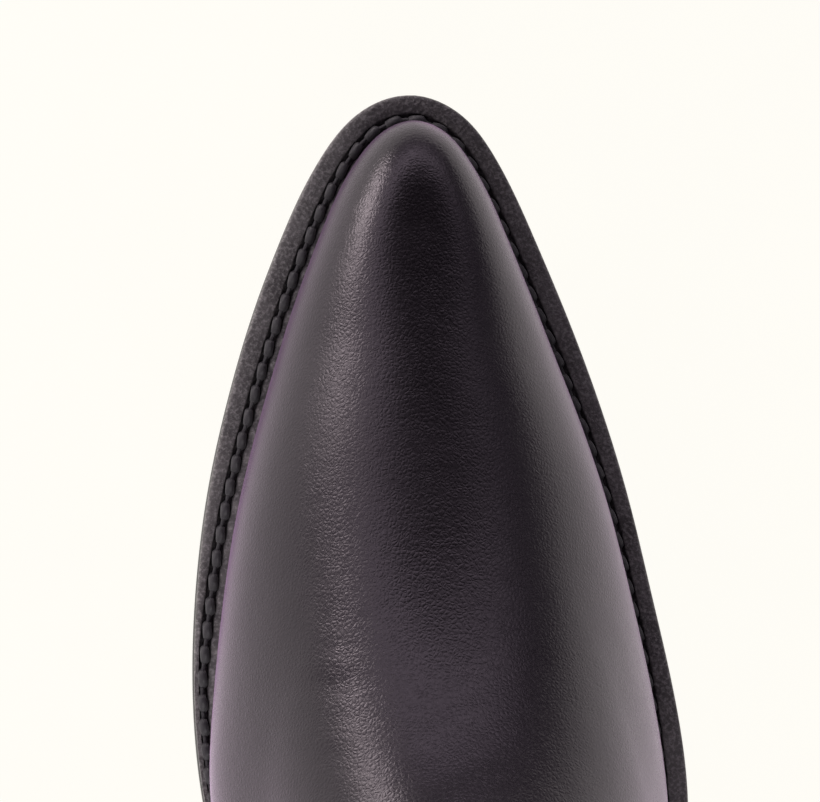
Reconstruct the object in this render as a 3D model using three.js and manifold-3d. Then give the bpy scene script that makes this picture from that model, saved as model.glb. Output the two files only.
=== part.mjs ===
// Right-foot cowboy boot: plain pointed vamp, stitched welt, scalloped shaft with pull straps
// and an underslung stacked heel. Millimetres, +Z up, +Y towards the toe, +X to the outer side.
//
// The upper is two surfaces that meet along the side seams. The front one is a family of arcs:
// each arc leaves the centre line of the vamp, instep or shin and comes down to the feather line
// (where the upper meets the welt) or back to the side seam. The rear one is a family of arcs from
// the back centre line to the side seams. Every leather layer is one of these surfaces, offset.
import * as THREE from "three";
import Module from "manifold-3d";
import { mergeVertices } from "three/addons/utils/BufferGeometryUtils.js";

const wasm = await Module();
wasm.setup();

// ---------------------------------------------------------------- driving dimensions (mm)
const LAST_LENGTH = 277.8; // feather line, toe to heel
const LAST_WIDTH = 85.6; // feather line, widest, at the ball
const TOE_SPRING = 13.3; // lift of the outsole's toe
const SEAT_RISE = 41.6; // lift of the outsole at the back of the heel
const SHAFT_HEIGHT = 279; // heel seat to the top of the side seam
const SHAFT_WIDTH = 102; // across the side seams at the top
const FRONT_DIP = 36; // depth of the front scallop
const BACK_DIP = 30; // depth of the back scallop

const OUTSOLE_THICKNESS = 4.5;
const WELT_THICKNESS = 2.7;
const INSOLE_THICKNESS = 3;
const SOCK_THICKNESS = 1;
const UPPER_THICKNESS = 1.6; // vamp and counter cover
const PANEL_THICKNESS = 1.5; // shaft panels, toe box and heel counter
const LINING_THICKNESS = 1.1;
const GAP = 0.3; // clearance between neighbouring layers

const OVERLAP = 12; // shaft panels run this far under the vamp and counter
const SEAM_GAP = 0.5; // half the gap between front and rear shaft panels
const BUTT_GAP = 0.8; // between pieces that meet edge to edge
const PIPING_RADIUS = 1.4;
const BINDING_THICKNESS = 0.9; // strip folded over the top edge
const BINDING_DEPTH = 3.5; // how far it reaches down each face
const BINDING_CLEARANCE = 0.35;
const THREAD_RADIUS = 0.7;
const STITCH_PITCH = 4.8;
const STITCH_FROM_UPPER = 1.2; // welt seam's centre, outside the widest part of the upper
const STITCH_FROM_EDGE = 1.55; // and never closer to the welt's edge than this
const GROOVE_HALF_WIDTH = 1.2;
const GROOVE_DEPTH = 0.9;

const STRAP_WIDTH = 30;
const STRAP_THICKNESS = 1.6;
const STRAP_TAIL = 62; // sewn-down length on each side of the wall
const LOOP_HEIGHT = 34; // free loop above the top edge
const LOOP_HALF_WIDTH = 7.5; // widest, halfway up
const PIVOT_CLEARANCE = 0.5; // between the loop's leaves and the binding

const HEEL_BREAST = 216; // front face of the heel, distance behind the toe
const HEEL_WEDGE_FRONT = 2.5; // thickness of the wedge lift at the breast
const HEEL_LIFTS = 4; // level lifts between the wedge and the top lift
const TOP_LIFT_THICKNESS = 6.5; // rubber heel tip
const HEEL_UNDERCUT = 9; // back of the heel slopes in this far
const HEEL_TAPER = 0.13; // the heel narrows by this share towards the ground
const NAIL_COUNT = 7;
const NAIL_RADIUS = 1.1;
const NAIL_LENGTH = 5;
const NAIL_INSET = 8; // nails stand this far inside the top lift's edge
const SHANK_WIDTH = 14;
const SHANK_THICKNESS = 1.5;
const SHANK_FRONT = 138;
const SHANK_LENGTH = 108;

// ---------------------------------------------------------------- small mathematics
const RIGHT_ANGLE = Math.PI / 2;
const mix = (a, b, t) => a + (b - a) * t;
const clamp = (x, low, high) => Math.min(high, Math.max(low, x));
const smoothstep = (low, high, x) => {
  const t = clamp((x - low) / (high - low), 0, 1);
  return t * t * (3 - 2 * t);
};
const steps = (count, from = 0, to = 1) =>
  Array.from({ length: count + 1 }, (_, i) => mix(from, to, i / count));

// Natural cubic spline through rows [t, value, value, ...]; straight beyond its ends.
function spline(rows) {
  const last = rows.length - 1;
  const t = rows.map((row) => row[0]);
  const bend = rows.map((row) => row.slice(1).map(() => 0)); // second derivatives
  const carry = rows.map(() => 0);
  for (let i = 1; i < last; i++) {
    const before = t[i] - t[i - 1];
    const after = t[i + 1] - t[i];
    const pivot = 2 * (before + after) - before * carry[i - 1];
    carry[i] = after / pivot;
    for (let k = 0; k < bend[i].length; k++) {
      const rise = (rows[i + 1][k + 1] - rows[i][k + 1]) / after;
      const fall = (rows[i][k + 1] - rows[i - 1][k + 1]) / before;
      bend[i][k] = (6 * (rise - fall) - before * bend[i - 1][k]) / pivot;
    }
  }
  for (let i = last - 1; i > 0; i--)
    bend[i] = bend[i].map((value, k) => value - carry[i] * bend[i + 1][k]);
  return (x) => {
    let i = 0;
    while (i < last - 1 && x > t[i + 1]) i++;
    const h = t[i + 1] - t[i];
    const inside = clamp(x, t[0], t[last]);
    const b = (inside - t[i]) / h;
    const a = 1 - b;
    return rows[i].slice(1).map((value, k) => {
      const next = rows[i + 1][k + 1];
      const at = a * value + b * next
        + ((a ** 3 - a) * bend[i][k] + (b ** 3 - b) * bend[i + 1][k]) * h * h / 6;
      const slope = (next - value) / h
        + ((1 - 3 * a * a) * bend[i][k] + (3 * b * b - 1) * bend[i + 1][k]) * h / 6;
      return at + slope * (x - inside);
    });
  };
}

// ---------------------------------------------------------------- the last
// "Along" is the distance behind the toe end of the feather line; a point's y is minus that.
const LENGTH_SCALE = LAST_LENGTH / 277.8;
const WIDTH_SCALE = LAST_WIDTH / 85.6;
const CENTRE_X = 6.5 * WIDTH_SCALE; // centre line of the heel and shaft
const FEATHER_CORNER = 225; // ring number where the feather line meets the side seam

// Rings of the foot: ring number (arc length from the toe), where the ring starts on the centre
// line (x, along), and where it lands on the feather line: outer x, outer along, inner x, inner along.
const FOOT_RINGS = [
  [0, -0.5, 20.3, -0.5, 0, -0.5, 0],
  [5.5, -0.5, 20.5, 4.7, 1.7, -5.6, 1.7],
  [12, -0.4, 21.4, 9, 6, -9.9, 6],
  [22, -0.2, 23.8, 14.2, 14.8, -14.9, 14.8],
  [33, 0, 28.8, 18.9, 24.8, -19, 24.8],
  [44, 0.2, 36.8, 23.4, 34.8, -22.6, 34.8],
  [66, 0.8, 55.3, 31.7, 54.8, -28.5, 54.8],
  [87.5, 1.5, 74.8, 38.5, 74.8, -33.2, 74.8],
  [107, 2.2, 93.8, 43, 93.8, -35.9, 93.8],
  [128, 3, 113.8, 46.7, 113.8, -37.4, 113.8],
  [144, 3.6, 128.8, 48.4, 129.8, -37.2, 129.8],
  [157, 4.1, 139.8, 48.4, 142.8, -35.3, 142.8],
  [178, 4.9, 152.8, 46.2, 162.8, -30.6, 162.8],
  [200, 5.8, 162.8, 41.4, 182.8, -26, 182.8],
  [225, 6.4, 169.3, 36.8, 206.8, -23.2, 206.8],
].map(([ring, cx, along, ox, oa, ix, ia]) => [
  ring, cx * WIDTH_SCALE, along * LENGTH_SCALE,
  ox * WIDTH_SCALE, oa * LENGTH_SCALE, ix * WIDTH_SCALE, ia * LENGTH_SCALE,
]);

// Height of the centre line of the vamp above the outsole, by distance along.
const CREST = [
  [-2, 20.8], [8, 23.8], [20.3, 27.9], [36.8, 34], [55.3, 40.8], [74.8, 47.6], [93.8, 54.6],
  [113.8, 63.4], [128.8, 72], [139.8, 79.2], [152.8, 88.2], [162.8, 95.8], [169.3, 103],
];
// Rings of the ankle, in mm above the heel seat: side seam height, front centre along and height,
// back centre along and height, seam's distance outside and inside the centre line, seam along,
// rear fullness.
const ANKLE_RINGS = [
  [14, 172.5, 83, 280.4, 24, 31.1, 31.1, 208.4, 2.8],
  [39, 174.5, 97, 279.6, 46, 33.1, 33.3, 211.5, 2.5],
  [69, 175.2, 114, 275.4, 71.5, 35.7, 35.9, 215.6, 2.3],
  [104, 174, 134, 273.2, 104, 38.5, 38.7, 218.8, 2.2],
];
// Rings of the shaft: share of the way from the last ankle ring to the top, front centre along, how
// far its height leads the seam's, back centre along, seam half-width at full width, seam along.
const SHAFT_RINGS = [
  [0.2, 171, 17, 274.6, 42.6, 220.4],
  [0.4, 167.6, 7, 277, 45.4, 221],
  [0.6, 164.2, 1, 280, 47.8, 220.8],
  [0.8, 161, 0, 283, 49.7, 220],
  [1, 158.6, 0, 285.6, 51, 219.2],
];
// Sideways bulge of the leather over the feather line: along, inner side, outer side.
const BULGE = [
  [-8, 1.2, 1.2], [20, 1.3, 1.3], [55, 1.6, 1.6], [94, 2, 1.9], [114, 2.4, 2.1],
  [135, 3.5, 2.3], [165, 4.2, 2.4], [190, 4.2, 2.4], [215, 3, 2], [250, 1.7, 1.6], [290, 1.4, 1.4],
];
const BULGE_HEIGHT = 42; // the bulge has died out this far above the feather line
// How far the outsole and welt stand out from the feather line: along, inner side, outer side.
const EXTENSION = [
  [-8, 7.2, 7.2], [10, 7.4, 7.5], [25, 7.6, 7.8], [55, 7.5, 7.8], [75, 6.8, 7.5], [94, 6, 7.7],
  [114, 4.7, 8.4], [130, 3.4, 8.8], [143, 2.9, 8.4], [163, 2.9, 6.8], [183, 3.1, 5.2],
  [207, 3.1, 3.6], [235, 2.5, 2.5], [285, 2.3, 2.3],
];
// Share of SEAT_RISE by distance along: flat under the ball, steep in the waist, gentle at the seat.
const SEAT_SHAPE = [
  [112, 0], [120, 0.001], [132.8, 0.022], [147.8, 0.089], [162.8, 0.204], [177.8, 0.349],
  [192.8, 0.512], [206.8, 0.651], [220.8, 0.743], [237.8, 0.82], [257.8, 0.904], [280.8, 1],
];

const scaleAlong = (rows) => rows.map((row) => [row[0] * LENGTH_SCALE, ...row.slice(1)]);
const crestCurve = spline(scaleAlong(CREST));
const bulgeCurve = spline(scaleAlong(BULGE));
const extensionCurve = spline(scaleAlong(EXTENSION));
const seatCurve = spline(scaleAlong(SEAT_SHAPE));
const BALL = 98 * LENGTH_SCALE; // the sole lies flat on the ground from here to SEAT_SHAPE's start
const TOE = -7 * LENGTH_SCALE;

// Height of the outsole's top face.
function soleTop(along) {
  const spring = clamp((BALL - along) / (BALL - TOE), 0, 1.02) ** 1.8;
  const rise = along < 112 * LENGTH_SCALE ? 0 : seatCurve(along)[0];
  return OUTSOLE_THICKNESS + TOE_SPRING * spring + SEAT_RISE * rise;
}
const WELT_TOP = GAP + WELT_THICKNESS; // above the outsole's top face
const FEATHER = WELT_TOP + GAP; // bottom of the upper
const crest = (along) => soleTop(along) + crestCurve(along)[0];
const SEAT = soleTop(LAST_LENGTH);
const HEEL_FEATHER = SEAT + FEATHER;

// Layers, as offsets from the outer face of the vamp: [inner face, outer face].
const UPPER_LAYER = [-UPPER_THICKNESS, 0];
const PANEL_OUTER = -UPPER_THICKNESS - GAP;
const PANEL_LAYER = [PANEL_OUTER - PANEL_THICKNESS, PANEL_OUTER];
const LINING_OUTER = PANEL_LAYER[0] - GAP;
const LINING_LAYER = [LINING_OUTER - LINING_THICKNESS, LINING_OUTER];
const WALL_MIDDLE = (PANEL_OUTER + LINING_LAYER[0]) / 2;

// One list of rings from toe to top; u counts mm along the feather line, then up the side seam.
const feather = spline([
  ...FOOT_RINGS.slice(1).reverse().map((r) => [-r[0], r[5], r[6]]),
  ...FOOT_RINGS.map((r) => [r[0], r[3], r[4]]),
]);
const cornerAlong = FOOT_RINGS.at(-1)[4];
const CORNER = soleTop(cornerAlong) + FEATHER; // height of the feather line at the side seam
const ANKLE_TOP = ANKLE_RINGS.at(-1)[0];
const shaftHeight = (share) => mix(ANKLE_TOP, SHAFT_HEIGHT, share);
const TOP_WIDTH_SCALE = SHAFT_WIDTH / 102;
const LEG_ROWS = [
  ...ANKLE_RINGS.map(([h, fa, fh, ba, bh, outer, inner, sa, full]) => {
    const scale = mix(WIDTH_SCALE, 1, h / ANKLE_TOP);
    return [h, fa, fh, ba, bh, CENTRE_X + outer * scale, CENTRE_X - inner * scale, sa, full];
  }),
  ...SHAFT_RINGS.map(([share, fa, lead, ba, half, sa]) => {
    const h = shaftHeight(share);
    const width = half * mix(1, TOP_WIDTH_SCALE, share);
    return [h, fa, h + lead, ba, h, CENTRE_X + width, CENTRE_X - width, sa, 2.2];
  }),
].map(([h, fa, fh, ba, bh, ox, ix, sa, full]) =>
  [h, fa * LENGTH_SCALE, fh, ba * LENGTH_SCALE, bh, ox, ix, sa * LENGTH_SCALE, full]);
const ringOfHeight = (height) => FEATHER_CORNER + SEAT + height - CORNER; // u of a leg ring
const RING_TOP = ringOfHeight(SHAFT_HEIGHT);

// Centre line of the front, [x, along, height], against u; even about u = 0.
const centreRows = [
  ...FOOT_RINGS.map((r) => [r[0], r[1], r[2], crest(r[2])]),
  ...LEG_ROWS.map((r) => [ringOfHeight(r[0]), CENTRE_X, r[1], SEAT + r[2]]),
];
const centreLine = spline([
  ...centreRows.slice(1).reverse().map((r) => [-r[0], r[1], r[2], r[3]]),
  ...centreRows,
]);
// Side seam, [outer x, inner x, along], and back centre line, [along, height, fullness].
const seamLine = spline([
  [FEATHER_CORNER, FOOT_RINGS.at(-1)[3], FOOT_RINGS.at(-1)[5], cornerAlong],
  ...LEG_ROWS.map((r) => [ringOfHeight(r[0]), r[5], r[6], r[7]]),
]);
const backLine = spline([
  [FEATHER_CORNER, LAST_LENGTH, HEEL_FEATHER, 3],
  ...LEG_ROWS.map((r) => [ringOfHeight(r[0]), r[3], SEAT + r[4], r[8]]),
]);

// ---------------------------------------------------------------- surfaces
const TOE_FULLNESS = 1.2; // how much squarer the arcs are round the tip than elsewhere
const power = (x, exponent) => Math.max(0, x) ** exponent;
const TOE_POLE = FOOT_RINGS[0][2];
const HEEL_POLE = LAST_LENGTH - 30;

// The leather swells out over the feather line and comes back in above it.
function swell(point) {
  const along = -point.y;
  const height = Math.min(BULGE_HEIGHT, crestCurve(Math.min(along, cornerAlong))[0] - FEATHER);
  const share = (point.z - soleTop(along) - FEATHER) / height;
  if (share <= 0 || share >= 1) return point;
  const from = new THREE.Vector2(
    point.x - mix(0, CENTRE_X, smoothstep(0, cornerAlong, along)),
    point.y + clamp(along, TOE_POLE, HEEL_POLE),
  ).normalize();
  const [inner, outer] = bulgeCurve(along);
  const reach = mix(inner, outer, (1 + from.x) / 2) * 6.75 * share * (1 - share) ** 2;
  return point.add(new THREE.Vector3(from.x * reach, from.y * reach, 0));
}

// Front surface. angle runs from -90 degrees (inner edge) through 0 (centre line) to 90 (outer).
function front(u, angle) {
  if (u < 0) return front(-u, -angle); // the surface is folded round the toe at u = 0
  const out = Math.abs(angle);
  const side = angle < 0 ? -1 : 1;
  const [cx, ca, cz] = centreLine(u);
  const onFoot = u <= FEATHER_CORNER;
  const seam = seamLine(Math.max(u, FEATHER_CORNER));
  const [ex, ea] = onFoot ? feather(side * u) : [side > 0 ? seam[0] : seam[1], seam[2]];
  const ez = onFoot ? soleTop(ea) + FEATHER : CORNER + u - FEATHER_CORNER;
  const fullness = mix(2.1, 2.2, smoothstep(FEATHER_CORNER - 60, FEATHER_CORNER, u))
    + TOE_FULLNESS * (1 - smoothstep(0, 60, u));
  const spread = power(Math.sin(out), 2 / fullness);
  const drop = power(Math.cos(out), 2 / fullness);
  const toe = 1 - smoothstep(66, 128, u); // rings round the toe fan out from a pole
  const along = mix(ea + (ca - ea) * drop, ca + (ea - ca) * spread, toe);
  const top = mix(cz, crest(along), toe);
  return swell(new THREE.Vector3(mix(cx, ex, spread), -along, mix(ez, top, drop)));
}

// Rear surface. angle runs from -90 degrees (inner seam) through 0 (back centre) to 90 (outer).
function rear(u, angle) {
  const out = Math.abs(angle);
  const seam = seamLine(u);
  const edgeZ = CORNER + u - FEATHER_CORNER;
  const [backAlong, backZ, fullness] = backLine(u);
  const spread = power(Math.sin(out), 2 / fullness);
  const drop = power(Math.cos(out), 2 / fullness);
  const along = mix(seam[2], backAlong, drop);
  const straight = mix(CORNER, HEEL_FEATHER, (along - cornerAlong) / (LAST_LENGTH - cornerAlong));
  const follow = 1 - smoothstep(FEATHER_CORNER, FEATHER_CORNER + 40, u);
  const z = mix(edgeZ, backZ, drop) + (soleTop(along) + FEATHER - straight) * follow;
  const x = mix(CENTRE_X, angle < 0 ? seam[1] : seam[0], spread);
  return swell(new THREE.Vector3(x, -along, z));
}

// Outward unit normal of a surface, by central differences.
function normalAt(surface, u, angle) {
  const SMALL_ANGLE = 0.035;
  if (Math.abs(angle) < SMALL_ANGLE)
    return normalAt(surface, u, SMALL_ANGLE).add(normalAt(surface, u, -SMALL_ANGLE)).normalize();
  const du = surface(u + 0.2, angle).sub(surface(u - 0.2, angle));
  const step = Math.min(0.003, Math.abs(RIGHT_ANGLE - Math.abs(angle)) + 1e-3);
  const limit = (a) => clamp(a, -RIGHT_ANGLE, RIGHT_ANGLE);
  const da = surface(u, limit(angle + step)).sub(surface(u, limit(angle - step)));
  const normal = surface === front ? du.cross(da) : da.cross(du);
  return normal.normalize();
}

// ---------------------------------------------------------------- mesh building
// Collects triangles by position, so that points which coincide are one vertex.
class Builder {
  constructor() {
    this.positions = [];
    this.index = [];
    this.seen = new Map();
  }
  vertex(p) {
    const key = [p.x, p.y, p.z].map((v) => Math.round(v * 1e4)).join();
    if (!this.seen.has(key)) {
      this.seen.set(key, this.positions.length / 3);
      this.positions.push(p.x, p.y, p.z);
    }
    return this.seen.get(key);
  }
  triangle(a, b, c) {
    const [i, j, k] = [a, b, c].map((p) => this.vertex(p));
    if (i !== j && j !== k && k !== i) this.index.push(i, j, k);
  }
  quad(a, b, c, d) {
    this.triangle(a, b, c);
    this.triangle(a, c, d);
  }
  geometry() {
    const made = new THREE.BufferGeometry();
    made.setAttribute("position", new THREE.Float32BufferAttribute(this.positions, 3));
    made.setIndex(this.index);
    made.computeVertexNormals();
    return made;
  }
}

// A closed skin between two grids of points, outer and inner, whose rows run along u. An end whose
// row is folded onto itself (start at the toe, end at the heel) needs no wall.
function skin(outer, inner, { start = "wall", end = "wall", flip = false } = {}) {
  const build = new Builder();
  const quad = (a, b, c, d) => (flip ? build.quad(a, d, c, b) : build.quad(a, b, c, d));
  const rows = outer.length - 1;
  const columns = outer[0].length - 1;
  for (let i = 0; i < rows; i++) {
    for (let j = 0; j < columns; j++) {
      quad(outer[i][j], outer[i + 1][j], outer[i + 1][j + 1], outer[i][j + 1]);
      quad(inner[i][j], inner[i][j + 1], inner[i + 1][j + 1], inner[i + 1][j]);
    }
    quad(outer[i][0], inner[i][0], inner[i + 1][0], outer[i + 1][0]);
    const k = columns;
    quad(outer[i + 1][k], inner[i + 1][k], inner[i][k], outer[i][k]);
  }
  for (let j = 0; j < columns; j++) {
    if (start === "wall") quad(outer[0][j], outer[0][j + 1], inner[0][j + 1], inner[0][j]);
    if (end === "wall")
      quad(outer[rows][j + 1], outer[rows][j], inner[rows][j], inner[rows][j + 1]);
  }
  return build.geometry();
}

// Triangles that fill a flat ring of points, facing the way its points run anticlockwise.
function fill(ring) {
  const across = ring[1].clone().sub(ring[0]).normalize();
  const normal = new THREE.Vector3();
  ring.forEach((p, i) => {
    const next = ring[(i + 1) % ring.length];
    normal.add(p.clone().sub(ring[0]).cross(next.clone().sub(ring[0])));
  });
  const up = normal.normalize().clone().cross(across);
  const flat = ring.map((p) => new THREE.Vector2(p.dot(across), p.dot(up)));
  return THREE.ShapeUtils.triangulateShape(flat, []);
}

// A sweep: rings of points joined one to the next, with a flat cap on each end. Seen from where
// the sweep is heading, looking back, a ring's points run anticlockwise.
function sweep(rings, { closed = false } = {}) {
  const build = new Builder();
  const count = rings[0].length;
  const turns = closed ? rings.length : rings.length - 1;
  for (let i = 0; i < turns; i++)
    for (let j = 0; j < count; j++) {
      const [a, b] = [rings[i], rings[(i + 1) % rings.length]];
      build.quad(a[j], a[(j + 1) % count], b[(j + 1) % count], b[j]);
    }
  if (closed) return build.geometry();
  const last = rings.at(-1);
  for (const [i, j, k] of fill(last)) build.triangle(last[i], last[j], last[k]);
  const first = rings[0];
  for (const [i, j, k] of fill(first)) build.triangle(first[k], first[j], first[i]);
  return build.geometry();
}

// ---------------------------------------------------------------- booleans
function solidOf(geometry) {
  const bare = new THREE.BufferGeometry();
  bare.setAttribute("position", geometry.getAttribute("position"));
  if (geometry.index) bare.setIndex(geometry.index);
  const merged = mergeVertices(bare, 1e-4);
  return new wasm.Manifold(new wasm.Mesh({
    numProp: 3,
    vertProperties: new Float32Array(merged.attributes.position.array),
    triVerts: new Uint32Array(merged.index.array),
  }));
}
function geometryOf(solid) {
  const mesh = solid.getMesh();
  const made = new THREE.BufferGeometry();
  made.setAttribute("position", new THREE.Float32BufferAttribute(mesh.vertProperties, 3));
  made.setIndex(new THREE.Uint32BufferAttribute(mesh.triVerts, 1));
  made.computeVertexNormals();
  return made;
}
const cutFrom = (geometry, cutters) =>
  geometryOf(cutters.reduce((solid, tool) => solid.subtract(solidOf(tool)), solidOf(geometry)));

// ---------------------------------------------------------------- the boot and its materials
const boot = new THREE.Group();
const leather = (color, roughness) =>
  new THREE.MeshStandardMaterial({ color, roughness, metalness: 0 });
const MATERIALS = {
  upper: leather(0x1d1a1d, 0.38),
  lining: leather(0x6b5844, 0.7),
  stiffener: leather(0x8a7458, 0.9),
  welt: leather(0x2a2625, 0.6),
  outsole: leather(0x231f1e, 0.55),
  insole: leather(0x9a7b55, 0.75),
  cork: leather(0x8f6a45, 0.95),
  heel: leather(0x1f1b1a, 0.5),
  rubber: leather(0x151515, 0.85),
  thread: leather(0x141414, 0.7),
  steel: new THREE.MeshStandardMaterial({ color: 0x9a9a9a, roughness: 0.35, metalness: 1 }),
  brass: new THREE.MeshStandardMaterial({ color: 0xb08a45, roughness: 0.4, metalness: 1 }),
};
function add(name, geometry, material) {
  const mesh = new THREE.Mesh(geometry, MATERIALS[material]);
  mesh.name = name;
  boot.add(mesh);
  return mesh;
}

// ---------------------------------------------------------------- leather panels
// Angles and rows shared by every layer, so that the facets of neighbouring layers lie parallel.
const mirrored = (list) => [...list.map((a) => -a), ...list.slice(0, -1).reverse()];
const FRONT_ANGLES = mirrored([90, 82, 72, 60, 48, 36, 24, 12, 0]);
const REAR_ANGLES = mirrored([90, 87, 82, 75, 66, 54, 40, 26, 12, 0]);
const TOE_ROWS = [0, 4, 8, 13, 19, 27, 37, 50, 66, 84, 104, 124, 144];
const WAIST_ROWS = [158, 172, 186, 199, 212, FEATHER_CORNER];
const SEAM_ROW = 240; // between the corner and the vamp's hidden edge
const TOE_BOX_ROWS = 8;
const radians = THREE.MathUtils.degToRad;

// Edges of the pieces, as u against the angle in degrees.
const VAMP_SEAM = 266;
const vampEdge = spline([[0, 240], [14, 232], [32, 222], [52, 225], [72, 245], [90, VAMP_SEAM]]);
const counterEdge = spline([[0, 296], [16, 290], [36, 275], [60, 265], [90, 262]]);
const stiffenerEdge = spline([[0, 272], [40, 262], [90, 246]]);
const fromOne = (curve) => (degrees) => curve(degrees)[0];
const FLAT_TOP = 66; // degrees from the centre line where the scallop has ended
const scallop = (degrees) => 0.5 + 0.5 * Math.cos(Math.PI * clamp(degrees / FLAT_TOP, 0, 1));
const frontTop = (degrees) => RING_TOP - FRONT_DIP * scallop(degrees);
const rearTop = (degrees) => RING_TOP - BACK_DIP * scallop(degrees);

// The angle of a point some millimetres from the side seam, measured square to the seam.
function nearSeam(surface, u, side, distance) {
  const seam = surface(u, side * RIGHT_ANGLE);
  const along = surface(u + 1, side * RIGHT_ANGLE).sub(seam).normalize();
  let angle = 0.1;
  for (let i = 0; i < 3; i++) {
    const away = surface(u, side * (RIGHT_ANGLE - angle)).sub(seam);
    angle *= distance / away.cross(along).length();
  }
  return side * (RIGHT_ANGLE - angle);
}
const onSurface = (surface, u, angle, offset) =>
  surface(u, angle).addScaledVector(normalAt(surface, u, angle), offset);

// One face of a panel: rows are functions that give u for an angle in degrees.
function face(surface, rows, angles, offset, clearance) {
  return rows.map((row) => angles.map((degrees) => {
    const u = row(Math.abs(degrees));
    const atSeam = Math.abs(degrees) === 90 && u > FEATHER_CORNER - 1e-6;
    if (!atSeam) return onSurface(surface, u, radians(degrees), offset);
    const angle = nearSeam(surface, u, Math.sign(degrees), clearance);
    const aboveCorner = u > FEATHER_CORNER + 1;
    const reached = aboveCorner ? row(THREE.MathUtils.radToDeg(Math.abs(angle))) : u;
    return onSurface(surface, reached, angle, offset);
  }));
}
function panel(name, material, surface, rows, layer, { clearance = SEAM_GAP, start } = {}) {
  const angles = surface === front ? FRONT_ANGLES : REAR_ANGLES;
  const [inner, outer] = layer.map((offset) => face(surface, rows, angles, offset, clearance));
  add(name, skin(outer, inner, { start, flip: surface === rear }), material);
}

const fixedRows = (list) => list.map((u) => () => u);
const rowsBetween = (from, to, shares) =>
  shares.map((share) => (degrees) => mix(from(degrees), to(degrees), share));
const shift = (edge, by) => (degrees) => edge(degrees) + by;
// A row that stops BUTT_GAP short of an edge, measured on the surface.
const shortOf = (surface, edge) => (degrees) => {
  const at = (u) => surface(u, radians(degrees));
  const u = edge(degrees);
  return u - BUTT_GAP / at(u).distanceTo(at(u - 1));
};
const PIPING_CLEARANCE = PIPING_RADIUS + GAP;

function addFrontLayers() {
  const edge = fromOne(vampEdge);
  const hidden = shift(edge, -OVERLAP); // lower edge of the shaft, under the vamp
  const ball = TOE_ROWS.at(-1);
  const waist = rowsBetween(() => ball, edge,
    [...WAIST_ROWS, SEAM_ROW].map((u) => (u - ball) / (VAMP_SEAM - ball)));
  const foot = [...fixedRows(TOE_ROWS), ...waist];
  const folded = { start: "folded" };
  panel("vamp", "upper", front, [...foot, hidden, edge], UPPER_LAYER,
    { ...folded, clearance: PIPING_CLEARANCE });
  panel("vamp_lining", "lining", front,
    [...foot, shortOf(front, hidden), shortOf(front, edge)], LINING_LAYER, folded);
  panel("toe_box", "stiffener", front, foot.slice(0, TOE_BOX_ROWS), PANEL_LAYER, folded);
  const boxEnd = shift(foot[TOE_BOX_ROWS - 1], GAP);
  panel("vamp_interlining", "stiffener", front,
    [boxEnd, ...foot.slice(TOE_BOX_ROWS), shortOf(front, hidden)], PANEL_LAYER,
    { clearance: PIPING_CLEARANCE });
  const shaft = rowsBetween(edge, frontTop, steps(13).slice(1));
  panel("shaft_front", "upper", front, [hidden, edge, ...shaft], PANEL_LAYER);
  panel("shaft_lining_front", "lining", front, [edge, ...shaft], LINING_LAYER);
}
function addRearLayers() {
  const edge = fromOne(counterEdge);
  const hidden = shift(edge, -OVERLAP);
  const stiffener = (degrees) => Math.min(stiffenerEdge(degrees)[0], shortOf(rear, hidden)(degrees));
  const bottom = () => FEATHER_CORNER;
  const low = rowsBetween(bottom, stiffener, steps(3));
  panel("counter_cover", "upper", rear, [...low, hidden, edge], UPPER_LAYER,
    { clearance: PIPING_CLEARANCE });
  panel("heel_counter", "stiffener", rear, low, PANEL_LAYER, { clearance: PIPING_CLEARANCE });
  const shaft = rowsBetween(edge, rearTop, steps(12).slice(1));
  panel("shaft_back", "upper", rear, [hidden, edge, ...shaft], PANEL_LAYER);
  panel("shaft_lining_back", "lining", rear, [...low, hidden, edge, ...shaft], LINING_LAYER);
}
addFrontLayers();
addRearLayers();

// ---------------------------------------------------------------- side piping
const TAIL_TOP = RING_TOP - BINDING_DEPTH - GAP;
const TAIL_BOTTOM = TAIL_TOP - STRAP_TAIL;

// Regular ring of points about a centre, in the plane of two unit vectors.
const ringAbout = (centre, a, b, radius, sides) => steps(sides).slice(1).map((share) =>
  centre.clone()
    .addScaledVector(a, radius * Math.cos(2 * Math.PI * share))
    .addScaledVector(b, radius * Math.sin(2 * Math.PI * share)));

function seamNormal(u, side) {
  const both = [front, rear].map((surface) => normalAt(surface, u, nearSeam(surface, u, side, 0.5)));
  return both[0].add(both[1]).normalize();
}
for (const [name, side] of [["outer", 1], ["inner", -1]]) {
  const SIDES = 6;
  const rise = PANEL_OUTER + GAP + PIPING_RADIUS;
  const rings = steps(20, FEATHER_CORNER + 1.5, TAIL_BOTTOM - GAP).map((u) => {
    const normal = seamNormal(u, side);
    const centre = front(u, side * RIGHT_ANGLE).addScaledVector(normal, rise);
    const along = front(u + 1, side * RIGHT_ANGLE).sub(front(u - 1, side * RIGHT_ANGLE)).normalize();
    return ringAbout(centre, normal, along.cross(normal), PIPING_RADIUS, SIDES);
  });
  add("side_piping_" + name, sweep(rings), "upper");
}

// ---------------------------------------------------------------- top binding
const WALL_HALF = (PANEL_OUTER - LINING_LAYER[0]) / 2;
const BINDING_INNER = WALL_HALF + BINDING_CLEARANCE;
const BINDING_OUTER = BINDING_INNER + BINDING_THICKNESS;
const BINDING_TOP = BINDING_CLEARANCE + BINDING_THICKNESS;

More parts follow.
